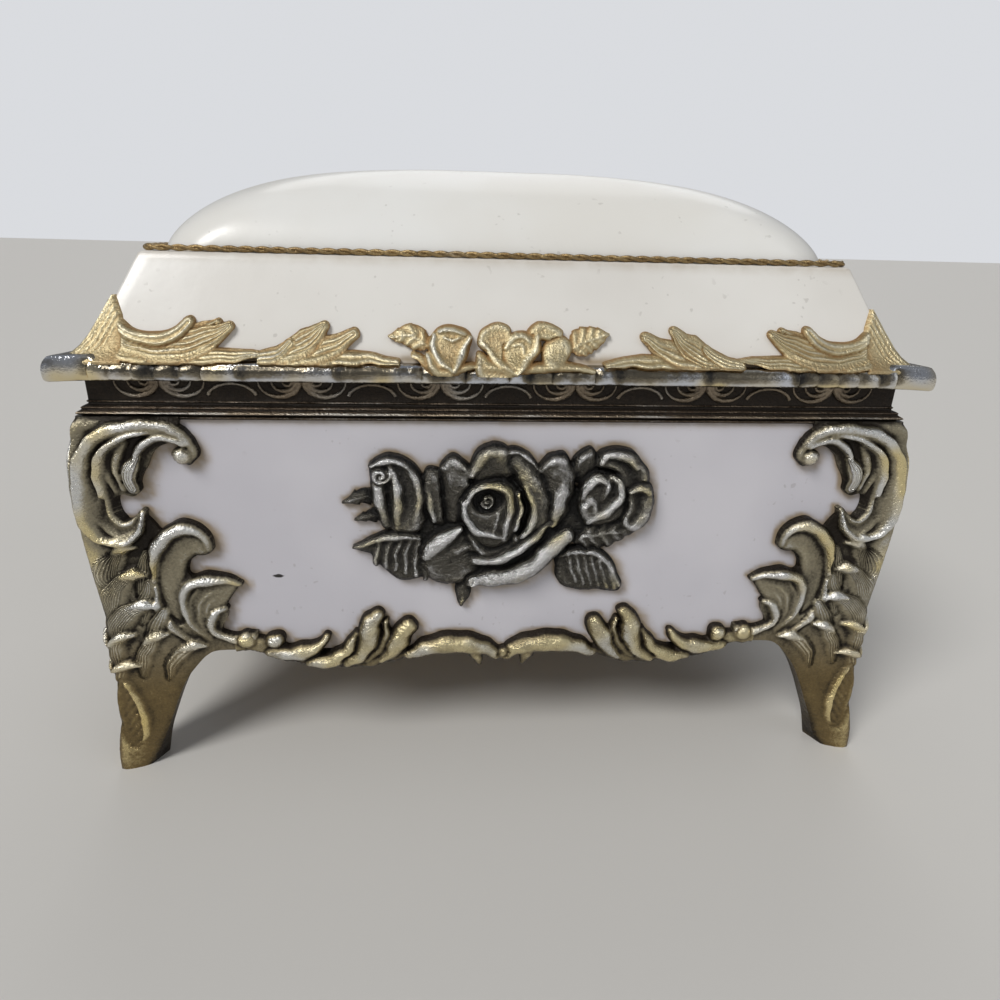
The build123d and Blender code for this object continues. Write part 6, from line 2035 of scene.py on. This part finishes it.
@dataclass
class LidOrnament:
    """Cast leaves, roses and corner posts that stand on the lid's sloping faces."""

    pitch: float = 0.17
    reach: float = 28.5
    blend: float = 7.0
    low: float = 63.2
    high: float = 74.0
    back: float = -0.25
    long_reach: float = 33.6
    short_reach: float = 17.4

    @staticmethod
    def edge(z: Grid) -> Grid:
        """Reach of a corner post's edge beyond the lid's corner at each height."""
        heights = (62.0, 64.3, 64.8, 65.4, 66.2, 67.4, 69.6, 71.6, 73.4, 75.0)
        return np.interp(z, heights, (2.5, 2.4, 2.0, 1.4, 0.95, 0.65, 0.5, 0.45, 0.35, 0.3))

    @staticmethod
    def ground(z: Grid) -> Grid:
        """Height of the castings' ground beyond the slope, rolling out over the rim."""
        return 0.55 + 1.5 * np.clip((66.4 - z) / 1.9, 0, 1) ** 1.6

    def corner_drawing(self) -> Relief:
        """Draw a corner post with the three-lobed leaf beside it."""
        relief = Relief((0.0, self.low + 0.9), (self.reach, self.high), self.pitch)
        lx = PLAN.lid_half(relief.up, True)
        relief.u = 60.0 - (lx + self.edge(relief.up) - relief.along)
        relief.unsettle(0.08, 0.01)
        lobes = (
            ([(7.6, 66.0), (9.6, 65.4), (13.0, 65.1), (18.5, 65.2), (23.0, 65.3), (27.4, 65.5)],
             (0.8, 0.95, 0.95, 0.95, 0.75, 0.2), 1.0, 2),
            ([(17.0, 66.6), (18.6, 67.4), (20.0, 68.4), (20.9, 69.2)], (1.5, 1.9, 1.6, 0.6), 1.0, 2),
            ([(7.9, 67.4), (9.8, 66.5), (13.2, 66.1), (17.2, 66.5), (20.4, 67.7), (22.3, 68.8)],
             (0.9, 1.3, 1.7, 2.0, 1.7, 0.7), 1.1, 3),
            ([(7.9, 69.0), (9.6, 67.7), (12.2, 67.1), (15.0, 67.5), (17.2, 69.3)],
             (0.5, 0.8, 0.95, 1.0, 0.75), 1.25, 1),
        )
        for points, widths, height, lines in lobes:
            relief.stroke(points, widths, height, 0.45, lines, 0.1, over=True)
        post = [(-3, 63.4), (8.0, 63.6), (8.3, 65.4), (8.5, 67.2), (8.3, 68.8), (7.9, 70.2), (7.4, 71.6),
                (6.9, 72.6), (6.2, 73.3), (5.0, 73.2), (-3, 73.2)]
        relief.lobe(post, 0.6, 0.5, 0.5)
        corner = self.edge(relief.up) + 0.1 - 0.25 * np.clip(1 - relief.along / 0.9, 0, 1) ** 2
        relief.soften(0.1)
        relief.kept = relief.wear()
        base = relief.height + self.ground(relief.up) - 0.55
        fall = np.exp(-((relief.along / 2.0) ** 2))
        flutes = 0.07 * np.cos(relief.along * 2 * math.pi / 0.7) * (relief.along < 3.2)
        relief.height = base + (corner - base) * fall + flutes
        # Flute ridges and the post's edge turn brighter and flute grooves darker: rubbing with painted
        # highlight and shade.
        relief.kept = np.clip(relief.kept + 1.6 * flutes + 0.12 * fall, 0, 1)
        return relief

    def flower_drawing(self, half: float, long_side: bool) -> Relief:
        """Draw the middle of a side.

        Args:
            half: Half length of the drawing.
            long_side: True for the front and back, which have two roses and four leaf groups.

        Returns:
            The drawing.
        """
        relief = Relief((-half, self.low), (half, 71.4), self.pitch)
        relief.unsettle(0.1, 0.01)
        if long_side:
            self._leaf_group(relief, -1, 0.0)
            self._leaf_group(relief, 1, -1.8)
            self._first_bud(relief, 0.0)
            self._open_rose(relief)
        else:
            self._first_bud(relief, 8.0)
            relief.leaf([(2.0, 65.0), (5.0, 67.2), (8.6, 68.4)], 1.5, 1.1, 5, 0.1, cut=0.2)
            self._leaf_group(relief, -1, -17.0)
            self._leaf_group(relief, 1, -17.0)
        relief.hammer(0.025)
        relief.soften(0.1)
        relief.kept = relief.wear()
        relief.height = relief.height + self.ground(relief.up) - 0.55
        return relief

    @staticmethod
    def _leaf_group(relief: Relief, hand: int, shift: float) -> None:
        """A low acanthus leaf of four lobes, its root towards the corner.

        Args:
            relief: The drawing.
            hand: -1 for the left group, 1 for the right.
            shift: Shift towards the corner.
        """
        lobes = (
            ([(32.0, 65.0), (25.0, 65.1), (19.0, 65.2), (15.2, 64.7)], (0.5, 0.8, 0.85, 0.3), 1),
            ([(32.0, 65.1), (27.0, 65.6), (23.6, 66.7), (21.2, 68.1)], (0.7, 1.2, 1.6, 0.9), 2),
            ([(33.0, 65.1), (29.5, 66.0), (26.9, 67.4), (25.2, 69.0)], (0.7, 1.3, 1.8, 0.8), 3),
            ([(34.4, 64.9), (31.4, 65.5), (29.6, 66.8)], (0.6, 1.0, 0.7), 2),
        )
        for points, widths, lines in lobes:
            placed = [(hand * (x + shift), z) for x, z in points]
            relief.stroke(placed, widths, 1.05, 0.45, lines, 0.1, over=True)

    @staticmethod
    def _first_bud(relief: Relief, shift: float) -> None:
        """The left bud with its leaf and stem."""
        def at(points: Sequence[Point]) -> list[Point]:
            """Points moved along the side."""
            return [(x + shift, z) for x, z in points]

        relief.leaf(at([(-11.0, 66.6), (-13.4, 68.0), (-16.5, 67.9)]), 1.5, 1.1, 4, 0.12, cut=0.22)
        relief.stroke(at([(-13.2, 65.8), (-12.0, 65.2), (-10.4, 63.4)]), (0.35, 0.4, 0.5), 0.95, 0.5)
        relief.lobe(at([(-10.9, 67.9), (-9.8, 69.0), (-7.9, 69.6), (-5.9, 68.9), (-5.1, 67.6),
                        (-5.9, 65.4), (-7.6, 63.6), (-9.2, 63.2), (-10.7, 64.8), (-11.2, 66.5)]), 1.5,
                    0.7, 1.3)
        relief.stroke(at([(-10.3, 68.2), (-10.5, 66.8), (-9.4, 65.2), (-7.8, 63.9)]),
                      (0.3, 0.5, 0.5, 0.3), 2.0, 1.2)
        relief.stroke(at([(-5.5, 68.0), (-6.4, 66.3), (-7.6, 63.9)]), (0.3, 0.55, 0.3), 2.0, 1.2)
        relief.stroke(at([(-9.6, 68.6), (-7.9, 69.0), (-6.2, 68.4)]), (0.25, 0.4, 0.25), 2.0, 1.3)
        relief.stroke(at([(-9.0, 68.0), (-7.8, 67.6), (-6.8, 68.0)]), (0.2, 0.3, 0.2), 1.9, 1.4)
        relief.stroke(at([(-11.2, 65.6), (-9.9, 63.7), (-8.2, 63.4)]), (0.4, 0.6, 0.5), 1.6, 0.8)
        relief.stroke(at([(-4.6, 64.4), (-6.4, 64.2), (-7.6, 63.5)]), (0.3, 0.5, 0.4), 1.3, 0.7)

    @staticmethod
    def _open_rose(relief: Relief) -> None:
        """The open rose with its petals, oval bud and leaf."""
        relief.leaf([(8.6, 66.6), (11.0, 67.8), (13.9, 68.6)], 1.9, 1.1, 5, 0.12, cut=0.22)
        relief.lobe([(2.5, 68.7), (4.0, 70.1), (5.9, 69.9), (7.6, 68.9), (6.6, 67.6), (4.2, 67.7)], 1.4,
                    0.7, 0.8, rim=0.2)
        relief.lobe([(4.6, 66.7), (6.2, 68.2), (8.0, 68.2), (8.7, 66.5), (7.5, 64.7), (5.6, 64.0),
                     (4.5, 65.2)], 1.6, 0.7, 1.2)
        relief.lobe([(-4.4, 67.1), (-4.0, 68.8), (-2.3, 69.8), (0.0, 69.5), (0.2, 68.0), (-0.8, 65.2),
                     (0.5, 63.6), (-0.8, 64.0), (-3.1, 65.9)], 1.5, 0.8, 0.9, rim=0.3, rim_width=0.4)
        relief.lobe([(-1.1, 66.6), (0.0, 68.2), (1.9, 68.9), (3.8, 68.3), (4.5, 66.7), (2.6, 64.5),
                     (0.8, 63.3), (-0.6, 64.6)], 1.7, 0.9, 1.1)
        relief.stroke([(3.8, 68.2), (3.6, 66.7), (2.1, 65.3), (0.9, 63.6)], (0.4, 0.6, 0.5, 0.3), 2.2, 1.3)
        relief.stroke([(-0.6, 66.8), (0.4, 68.0), (1.8, 68.3), (2.8, 67.6)], (0.3, 0.5, 0.45, 0.25), 2.1,
                      1.4)
        relief.stroke([(0.4, 67.0), (1.6, 67.2), (2.0, 66.2)], (0.25, 0.35, 0.25), 2.0, 1.4)
        relief.lobe([(-4.4, 66.2), (-2.4, 65.2), (0.7, 63.6), (-0.2, 62.8), (-2.9, 62.6), (-4.6, 63.4)],
                    1.4, 0.8, 0.8, rim=0.3)
        relief.stroke([(-3.6, 67.2), (-2.6, 66.0), (-0.6, 64.4), (0.8, 63.6)], (0.3, 0.5, 0.45, 0.3), 1.9,
                      1.1)
        relief.stroke([(1.4, 63.9), (4.4, 64.3), (7.8, 64.5), (11.6, 64.0)], (0.5, 0.7, 0.6, 0.3), 1.2,
                      0.6)

    def build(self) -> list[bpy.types.Object]:
        """Raise the posts, leaves and roses on all four sides."""
        drawing = self.corner_drawing()
        pieces = [
            corner.casting(
                "lid_post", drawing, self.back, self.blend, self.edge,
                lambda z: (PLAN.lid_half(z, True), PLAN.lid_half(z, False)),
            )
            for corner in CORNERS
        ]
        for side in Side:
            half = self.long_reach if side.is_long else self.short_reach
            flowers = self.flower_drawing(half, side.is_long)

            def put(along: Grid, z: Grid, out: Grid) -> Grid:
                """Point for a place along a side of the lid."""
                return side.points(along, PLAN.lid_half(z, not side.is_long) + out, z)

            pieces.append(casting(side.named("lid_flowers"), *flowers.solid(put, self.back)))
        for piece in pieces:
            LID_GILT.dress(piece)
        return pieces


@dataclass
class RopeEdge:
    """Twisted rope edge round the dome's foot, its strands laid by Geometry Nodes."""

    half_x: float = 49.35
    half_y: float = 32.63
    corner: float = 1.6
    height: float = 78.5
    radius: float = 0.45
    lay: float = 4.4
    strands: int = 2
    strand_offset: float = 0.2
    strand_radius: float = 0.26
    path_steps: int = 1500
    wear: float = 0.6

    def pattern(self) -> bpy.types.NodeTree:
        """Node tree that winds strands round a path."""
        tree, given = start_pattern("rope_strands", {
            "Offset": self.strand_offset, "Strand Radius": self.strand_radius, "Turns": 0.0,
        })
        inputs = {"Curve": given.outputs["Geometry"], "Count": self.path_steps}
        resampled = tree.node("GeometryNodeResampleCurve", None, inputs)
        along = tree.term(tree.node("GeometryNodeSplineParameter"), "Factor")
        joined = tree.node("GeometryNodeJoinGeometry")
        for strand in range(self.strands):
            angle = along * tree.term(given, "Turns") * (2 * math.pi) + 2 * math.pi * strand / self.strands
            side = angle.math("SINE") * tree.term(given, "Offset")
            rise = angle.math("COSINE") * tree.term(given, "Offset")
            tangent = tree.node("GeometryNodeInputTangent")
            across = tree.vector("CROSS_PRODUCT", tangent.outputs[0], (0.0, 0.0, 1.0))
            inputs = {0: across.outputs[0], "Scale": side}
            moved = tree.node("ShaderNodeVectorMath", {"operation": "SCALE"}, inputs)
            lifted = tree.node("ShaderNodeCombineXYZ", None, {"Z": rise})
            shift = tree.vector("ADD", moved.outputs[0], lifted.outputs[0])
            inputs = {"Geometry": resampled.outputs[0], "Offset": shift.outputs[0]}
            placed = tree.node("GeometryNodeSetPosition", None, inputs)
            inputs = {"Resolution": 8, "Radius": given.outputs["Strand Radius"]}
            profile = tree.node("GeometryNodeCurvePrimitiveCircle", None, inputs)
            inputs = {"Curve": placed.outputs[0], "Profile Curve": profile.outputs[0]}
            tube = tree.node("GeometryNodeCurveToMesh", None, inputs)
            tree.nodes.links.new(tube.outputs[0], joined.inputs[0])
        return end_pattern(tree, joined, ROPE_GILT, self.wear)

    def build(self) -> bpy.types.Object:
        """Wind the rope round the dome's foot."""
        outline = rounded_rectangle(self.half_x, self.half_y, self.corner, 8, 20)
        curve = bpy.data.curves.new("rope_path", "CURVE")
        curve.dimensions = "3D"
        path = curve.splines.new("POLY")
        path.points.add(len(outline) - 1)
        for point, (x, y) in zip(path.points, outline):
            point.co = (x * MM, y * MM, self.height * MM, 1.0)
        path.use_cyclic_u = True
        length = 4 * (self.half_x + self.half_y) - (8 - 2 * math.pi) * self.corner
        turns = float(round(length / self.lay))
        rope = grow(bpy.data.objects.new("rope_strands", curve), self.pattern(), {"Turns": turns})
        rope.data.polygons.foreach_set("use_smooth", np.ones(len(rope.data.polygons), bool))
        ROPE_GILT.dress(rope)
        return rope


# Soft linings
@dataclass
class Linings:
    """Velvet in the compartment and on the pad under the lid."""

    tray_x: float = 54.3
    tray_y: float = 36.5
    thickness: float = 0.8
    folds: int = 12
    floor: float = 45.3
    top: float = 61.6
    pad_x: float = 55.0
    pad_y: float = 37.2
    pad_low: float = 63.0
    pad_high: float = 64.8
    wire: Point = (51.0, 13.449)

    def lining(self) -> bpy.types.Object:
        """Velvet walls with a rolled top edge and a plump floor."""
        loops = [
            (self.tray_x, self.tray_y, self.floor + 0.2, 0.3),
            (self.tray_x, self.tray_y, self.top - 0.5, 0.3),
            (self.tray_x - 0.1, self.tray_y - 0.1, self.top - 0.15, 0.4),
            (self.tray_x - 0.4, self.tray_y - 0.4, self.top, 0.6),
            (self.tray_x - 0.75, self.tray_y - 0.75, self.top - 0.15, 0.8),
            (self.tray_x - 0.95, self.tray_y - 0.95, self.top - 0.5, 1.0),
        ]
        for z in np.linspace(self.top - 1.2, self.floor + 2.2, 8):
            puff = 0.12 * math.sin((z - self.floor) * 0.9)
            inset = self.thickness + 0.05 + puff
            loops.append((self.tray_x - inset, self.tray_y - inset, z, 1.5))
        for drop, inset in ((1.3, 1.0), (0.95, 1.5), (0.82, 2.4)):
            loops.append((self.tray_x - inset, self.tray_y - inset, self.floor + drop, 2.0))
        for share in (0.92, 0.8, 0.62, 0.42, 0.22, 0.06):
            crown = 0.42 * (1 - share**2.2)
            inset_x, inset_y = (self.tray_x - 2.4) * share, (self.tray_y - 2.4) * share
            loops.append((inset_x, inset_y, self.floor + 0.82 + crown, 2.0 * share + 0.2))
        return self._close("velvet_lining_cloth", loops, self.floor + 0.2, (self.tray_x, self.tray_y))

    def eyelet(self) -> bpy.types.Object:
        """Brass eyelet in the lining's floor, through which the stop wire rises."""
        section = ((0.82, 0.5), (0.82, 1.5), (1.05, 1.62), (1.4, 1.5), (1.5, 1.25), (1.4, 0.5))
        turns = np.linspace(0, 2 * math.pi, 25)[:-1]
        circle = np.column_stack([np.cos(turns), np.sin(turns)])
        rings = [at_height(self.wire + radius * circle, self.floor + rise) for radius, rise in section]
        quads = ring_faces(len(rings), len(turns))
        piece = new_object("stop_wire_eyelet", np.vstack(rings), quads, None, 40.0)
        BRASS.dress(piece)
        return piece

    def _close(self, name: str, loops: list, base: float, size: Point) -> bpy.types.Object:
        """Close loops from an outer foot to a middle into a solid piece.

        Args:
            name: Name of the piece.
            loops: Half length, half depth, height and corner radius of each loop.
            base: Height of the flat underside.
            size: Half sizes of the underside.

        Returns:
            The piece.
        """
        rings = []
        for index, (x, y, z, radius) in enumerate(loops):
            outline = rounded_rectangle(x, y, radius, 4, 40)
            turn = np.linspace(0, 2 * math.pi * self.folds, len(outline))
            soft = 0.05 * wave(turn + index, 0.5 * index, 4)
            rings.append(at_height(outline, z + soft * (0 < index < len(loops) - 1)))
        around = len(rings[0])
        centre_top = [[0.0, 0.0, loops[-1][2]]]
        points = np.vstack([*rings, centre_top, [[0.0, 0.0, base]]])
        faces = [list(q) for q in ring_faces(len(rings), around, False)]
        last, top, bottom = (len(rings) - 1) * around, len(points) - 2, len(points) - 1
        for step in range(around):
            after = (step + 1) % around
            faces.append([last + step, last + after, top])
            faces.append([after, step, bottom])
        piece = new_object(name, points, faces, None, 50.0)
        LOG.info("%s closed over %.1f x %.1f mm", name, 2 * size[0], 2 * size[1])
        RED_VELVET.dress(piece)
        return piece

    def pad(self) -> bpy.types.Object:
        """Pad under the lid, its soft face downwards."""
        loops = [
            (self.pad_x - 0.3, self.pad_y - 0.3, self.pad_high, 1.5),
            (self.pad_x, self.pad_y, self.pad_high - 0.4, 1.6),
            (self.pad_x, self.pad_y, self.pad_low + 1.1, 1.7),
            (self.pad_x - 0.25, self.pad_y - 0.25, self.pad_low + 0.75, 1.8),
            (self.pad_x - 0.8, self.pad_y - 0.8, self.pad_low + 0.5, 2.0),
        ]
        for share in (0.97, 0.93, 0.86, 0.7, 0.5, 0.3, 0.1):
            drop = 0.42 * (1 - share**6)
            z = self.pad_low + 0.44 - drop
            loops.append((self.pad_x * share, self.pad_y * share, z, 2.2 * share + 0.1))
        return self._close("lid_pad_cloth", loops, self.pad_high, (self.pad_x, self.pad_y))


# Movement
@dataclass
class Movement:
    """Finishes of the movement, and the pins of its cylinder."""

    axis_z: float = 36.0
    radius: float = 6.3
    pin_radius: float = 0.11
    pin_height: float = 0.3
    tracks: int = 18
    track_pitch: float = 1.16
    first_track: float = 1.14
    notes: int = 9
    least_gap: float = 0.2
    seed: int = 7

    def pin_pattern(self) -> bpy.types.NodeTree:
        """Node tree that stands a pin on each anchor, along its normal."""
        sizes = {"Pin Radius": self.pin_radius, "Pin Height": self.pin_height}
        tree, given = start_pattern("cylinder_pins", sizes)
        pin = tree.node(
            "GeometryNodeMeshCone", {"fill_type": "TRIANGLE_FAN"},
            {"Vertices": 6, "Radius Top": tree.term(given, "Pin Radius") * 0.7,
             "Radius Bottom": given.outputs["Pin Radius"], "Depth": tree.term(given, "Pin Height") * 2.0},
        )
        settings, inputs = {"data_type": "FLOAT_VECTOR"}, {"Name": "outward"}
        outward = tree.node("GeometryNodeInputNamedAttribute", settings, inputs)
        inputs = {"Vector": outward.outputs[0]}
        turned = tree.node("FunctionNodeAlignRotationToVector", {"axis": "Z"}, inputs)
        placed = tree.node(
            "GeometryNodeInstanceOnPoints", None,
            {"Points": given.outputs["Geometry"], "Instance": pin.outputs[0],
             "Rotation": turned.outputs[0]},
        )
        return end_pattern(tree, placed, STEEL)

    def pins(self) -> bpy.types.Object:
        """Pins of a made-up tune, in tracks under the comb's teeth."""
        chance = np.random.default_rng(self.seed)
        low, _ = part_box("music_cylinder")
        anchors, normals = [], []
        for track in range(self.tracks):
            x = low.x / MM + self.first_track + track * self.track_pitch
            angles = np.sort(chance.uniform(0, 2 * math.pi, self.notes))
            for angle in angles[np.concatenate([[True], np.diff(angles) > self.least_gap])]:
                normal = (0.0, math.cos(angle), math.sin(angle))
                y, z = normal[1] * self.radius, self.axis_z + normal[2] * self.radius
                anchors.append((x * MM, y * MM, z * MM))
                normals.append(normal)
        mesh = bpy.data.meshes.new("pin_anchors")
        mesh.from_pydata(anchors, [], [])
        layer = mesh.attributes.new("outward", "FLOAT_VECTOR", "POINT")
        layer.data.foreach_set("vector", np.array(normals, np.float32).ravel())
        piece = grow(bpy.data.objects.new("cylinder_pins", mesh), self.pin_pattern(), {})
        STEEL.dress(piece)
        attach(piece, "music_cylinder")
        return piece

    def dress(self) -> None:
        """Give the movement's solids and the other plain solids their finishes."""
        finishes = {
            BRASS: ("comb_screws", "cylinder_pinion", "music_cylinder", "cylinder_wheel",
                    "governor_pinion", "worm_wheel", "governor_fan", "wall_hinge_leaves",
                    "lid_hinge_leaves", "plate_screws", "movement_screws", "winding_key", "wire_guide",
                    "spring_barrel"),
            STEEL: ("comb", "mainspring", "winding_arbor", "cylinder_arbor", "governor_arbor",
                    "governor_worm", "stop_wire", "hinge_pins"),
            DIE_CAST: ("movement_bedplate", "cylinder_bracket", "governor_bracket", "barrel_bridge"),
            PLATED_SHEET: ("bottom_plate",),
            TRAY_CARD: ("compartment_tray",),
        }
        for finish, names in finishes.items():
            for name in names:
                finish.dress(frame["nodes"][name])


# Studio
@dataclass
class Studio:
    """Pale floor, soft lamps and the camera."""

    position: tuple = (-8.8, -135.9, 81.2)
    yaw: float = 4.76
    pitch: float = -20.74
    roll: float = 1.57
    focal: float = 25.2
    floor_half: float = 4000.0
    backdrop: tuple = colour(226, 228, 232)

    def camera(self) -> None:
        """Set the camera up at the photograph's angle."""
        yaw, pitch, roll = (math.radians(a) for a in (self.yaw, self.pitch, self.roll))
        ahead = Vector((math.sin(yaw) * math.cos(pitch), math.cos(yaw) * math.cos(pitch), math.sin(pitch)))
        level = Vector((math.cos(yaw), -math.sin(yaw), 0.0))
        above = level.cross(ahead)
        right = math.cos(roll) * level + math.sin(roll) * above
        top = -math.sin(roll) * level + math.cos(roll) * above
        lens = bpy.data.cameras.new("camera")
        lens.lens = self.focal
        lens.sensor_width = 36.0
        lens.clip_start = 0.005
        lens.clip_end = 20.0
        stand = bpy.data.objects.new("camera", lens)
        turn = Matrix((right, top, -ahead)).transposed().to_4x4()
        stand.matrix_world = Matrix.Translation(Vector(self.position) * MM) @ turn
        bpy.context.scene.collection.objects.link(stand)
        bpy.context.scene.camera = stand

    def floor(self) -> None:
        """Lay the floor."""
        size = self.floor_half * MM
        mesh = bpy.data.meshes.new("floor")
        corners = [(-size, -size, 0), (size, -size, 0), (size, size, 0), (-size, size, 0)]
        mesh.from_pydata(corners, [], [(0, 1, 2, 3)])
        floor = bpy.data.objects.new("floor", mesh)
        bpy.context.scene.collection.objects.link(floor)
        Paint("floor").dress(floor)

    def lamp(self, name: str, direction: tuple, strength: float, spread: float, tint: tuple) -> None:
        """Add an even soft light from a direction.

        Args:
            name: Name of the lamp.
            direction: From the box towards the light.
            strength: Strength of the light.
            spread: Width of the light in degrees.
            tint: Colour of the light.
        """
        light = bpy.data.lights.new(name, "SUN")
        light.angle = math.radians(spread)
        light.energy = strength
        light.color = tint
        lamp = bpy.data.objects.new(name, light)
        lamp.rotation_mode = "QUATERNION"
        lamp.rotation_quaternion = Vector(direction).to_track_quat("Z", "Y")
        bpy.context.scene.collection.objects.link(lamp)

    def world(self) -> None:
        """Fill light from all round, with a pale background for what the camera and metal see."""
        world = bpy.data.worlds.new("studio")
        tree = emptied(world)
        path = tree.node("ShaderNodeLightPath")
        seen = tree.term(path, "Is Camera Ray").math("MAXIMUM", tree.term(path, "Is Transmission Ray"))
        glossy = tree.term(path, "Is Glossy Ray")
        strength = 0.33 + 0.59 * seen - 0.05 * glossy
        inputs = {"Color": self.backdrop, "Strength": strength}
        shade = tree.node("ShaderNodeBackground", None, inputs)
        tree.node("ShaderNodeOutputWorld", None, {"Surface": shade.outputs[0]})
        bpy.context.scene.world = world

    def build(self) -> None:
        """Set up everything that isn't the box."""
        self.camera()
        self.floor()
        self.world()
        self.lamp("key", (-0.50, -0.50, 0.72), 2.05, 24.0, (1.0, 0.985, 0.96))
        self.lamp("fill", (0.72, -0.5, 0.4), 0.3, 50.0, (0.95, 0.97, 1.0))
        self.lamp("back", (0.1, 0.75, 0.6), 0.5, 50.0, (1.0, 1.0, 1.0))
        bpy.context.scene.view_settings.view_transform = "Standard"


def main() -> None:
    """Build the box's looks in order."""
    logging.basicConfig(level=logging.INFO, format="%(message)s")
    Studio().build()

    corners = CornerCastings()
    corner_relief = corners.draw()
    aprons = Aprons()
    apron_reliefs = {half: aprons.draw(half) for half in (PLAN.face_x, PLAN.face_y)}
    spray = RoseSpray()
    spray_relief = spray.draw()
    walls = Walls(
        ornaments=[
            (corner_relief, tuple(Side), True),
            (apron_reliefs[PLAN.face_x], (Side.FRONT, Side.BACK), False),
            (apron_reliefs[PLAN.face_y], (Side.LEFT, Side.RIGHT), False),
            (spray_relief, (Side.FRONT,), False),
        ]
    )
    plates = walls.build()
    legs = corners.build(corner_relief)
    rails = aprons.build(apron_reliefs)
    moulding = BASE_MOULDING.build()
    FRIEZE_PEWTER.dress(moulding)
    shells = FriezeShells().build()
    for piece in (*plates, *walls.lugs(), *legs, *rails, moulding, *shells):
        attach(piece, "root")
    wall_nodes = ("front_wall", "back_wall", "right_end_wall", "left_end_wall")
    for plate, node in zip(plates, wall_nodes):
        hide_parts(node)
    roses = spray.build(spray_relief)
    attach(roses, "root")
    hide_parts("front_rose_spray")

    slopes = LidEnamel().build()
    ornament = LidOrnament().build()
    rim = LidRim().build()
    for piece in (slopes, rim, *ornament):
        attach(piece, "lid")
    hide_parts("lid_shell")
    dome = Dome().build()
    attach(dome, "lid")
    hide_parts("lid_dome")
    rope = RopeEdge().build()
    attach(rope, "lid")
    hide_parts("rope_edge")

    linings = Linings()
    lining = linings.lining()
    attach(lining, "root")
    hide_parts("velvet_lining")
    eyelet = linings.eyelet()
    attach(eyelet, "root")
    pad = linings.pad()
    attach(pad, "lid")
    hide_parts("lid_velvet_pad")
    movement = Movement()
    movement.dress()
    movement.pins()

    for piece in (one for one in bpy.data.objects if one.type == "MESH"):
        LOG.info("%s has %d faces", piece.name, len(piece.data.polygons))


if __name__ == "__main__":
    main()
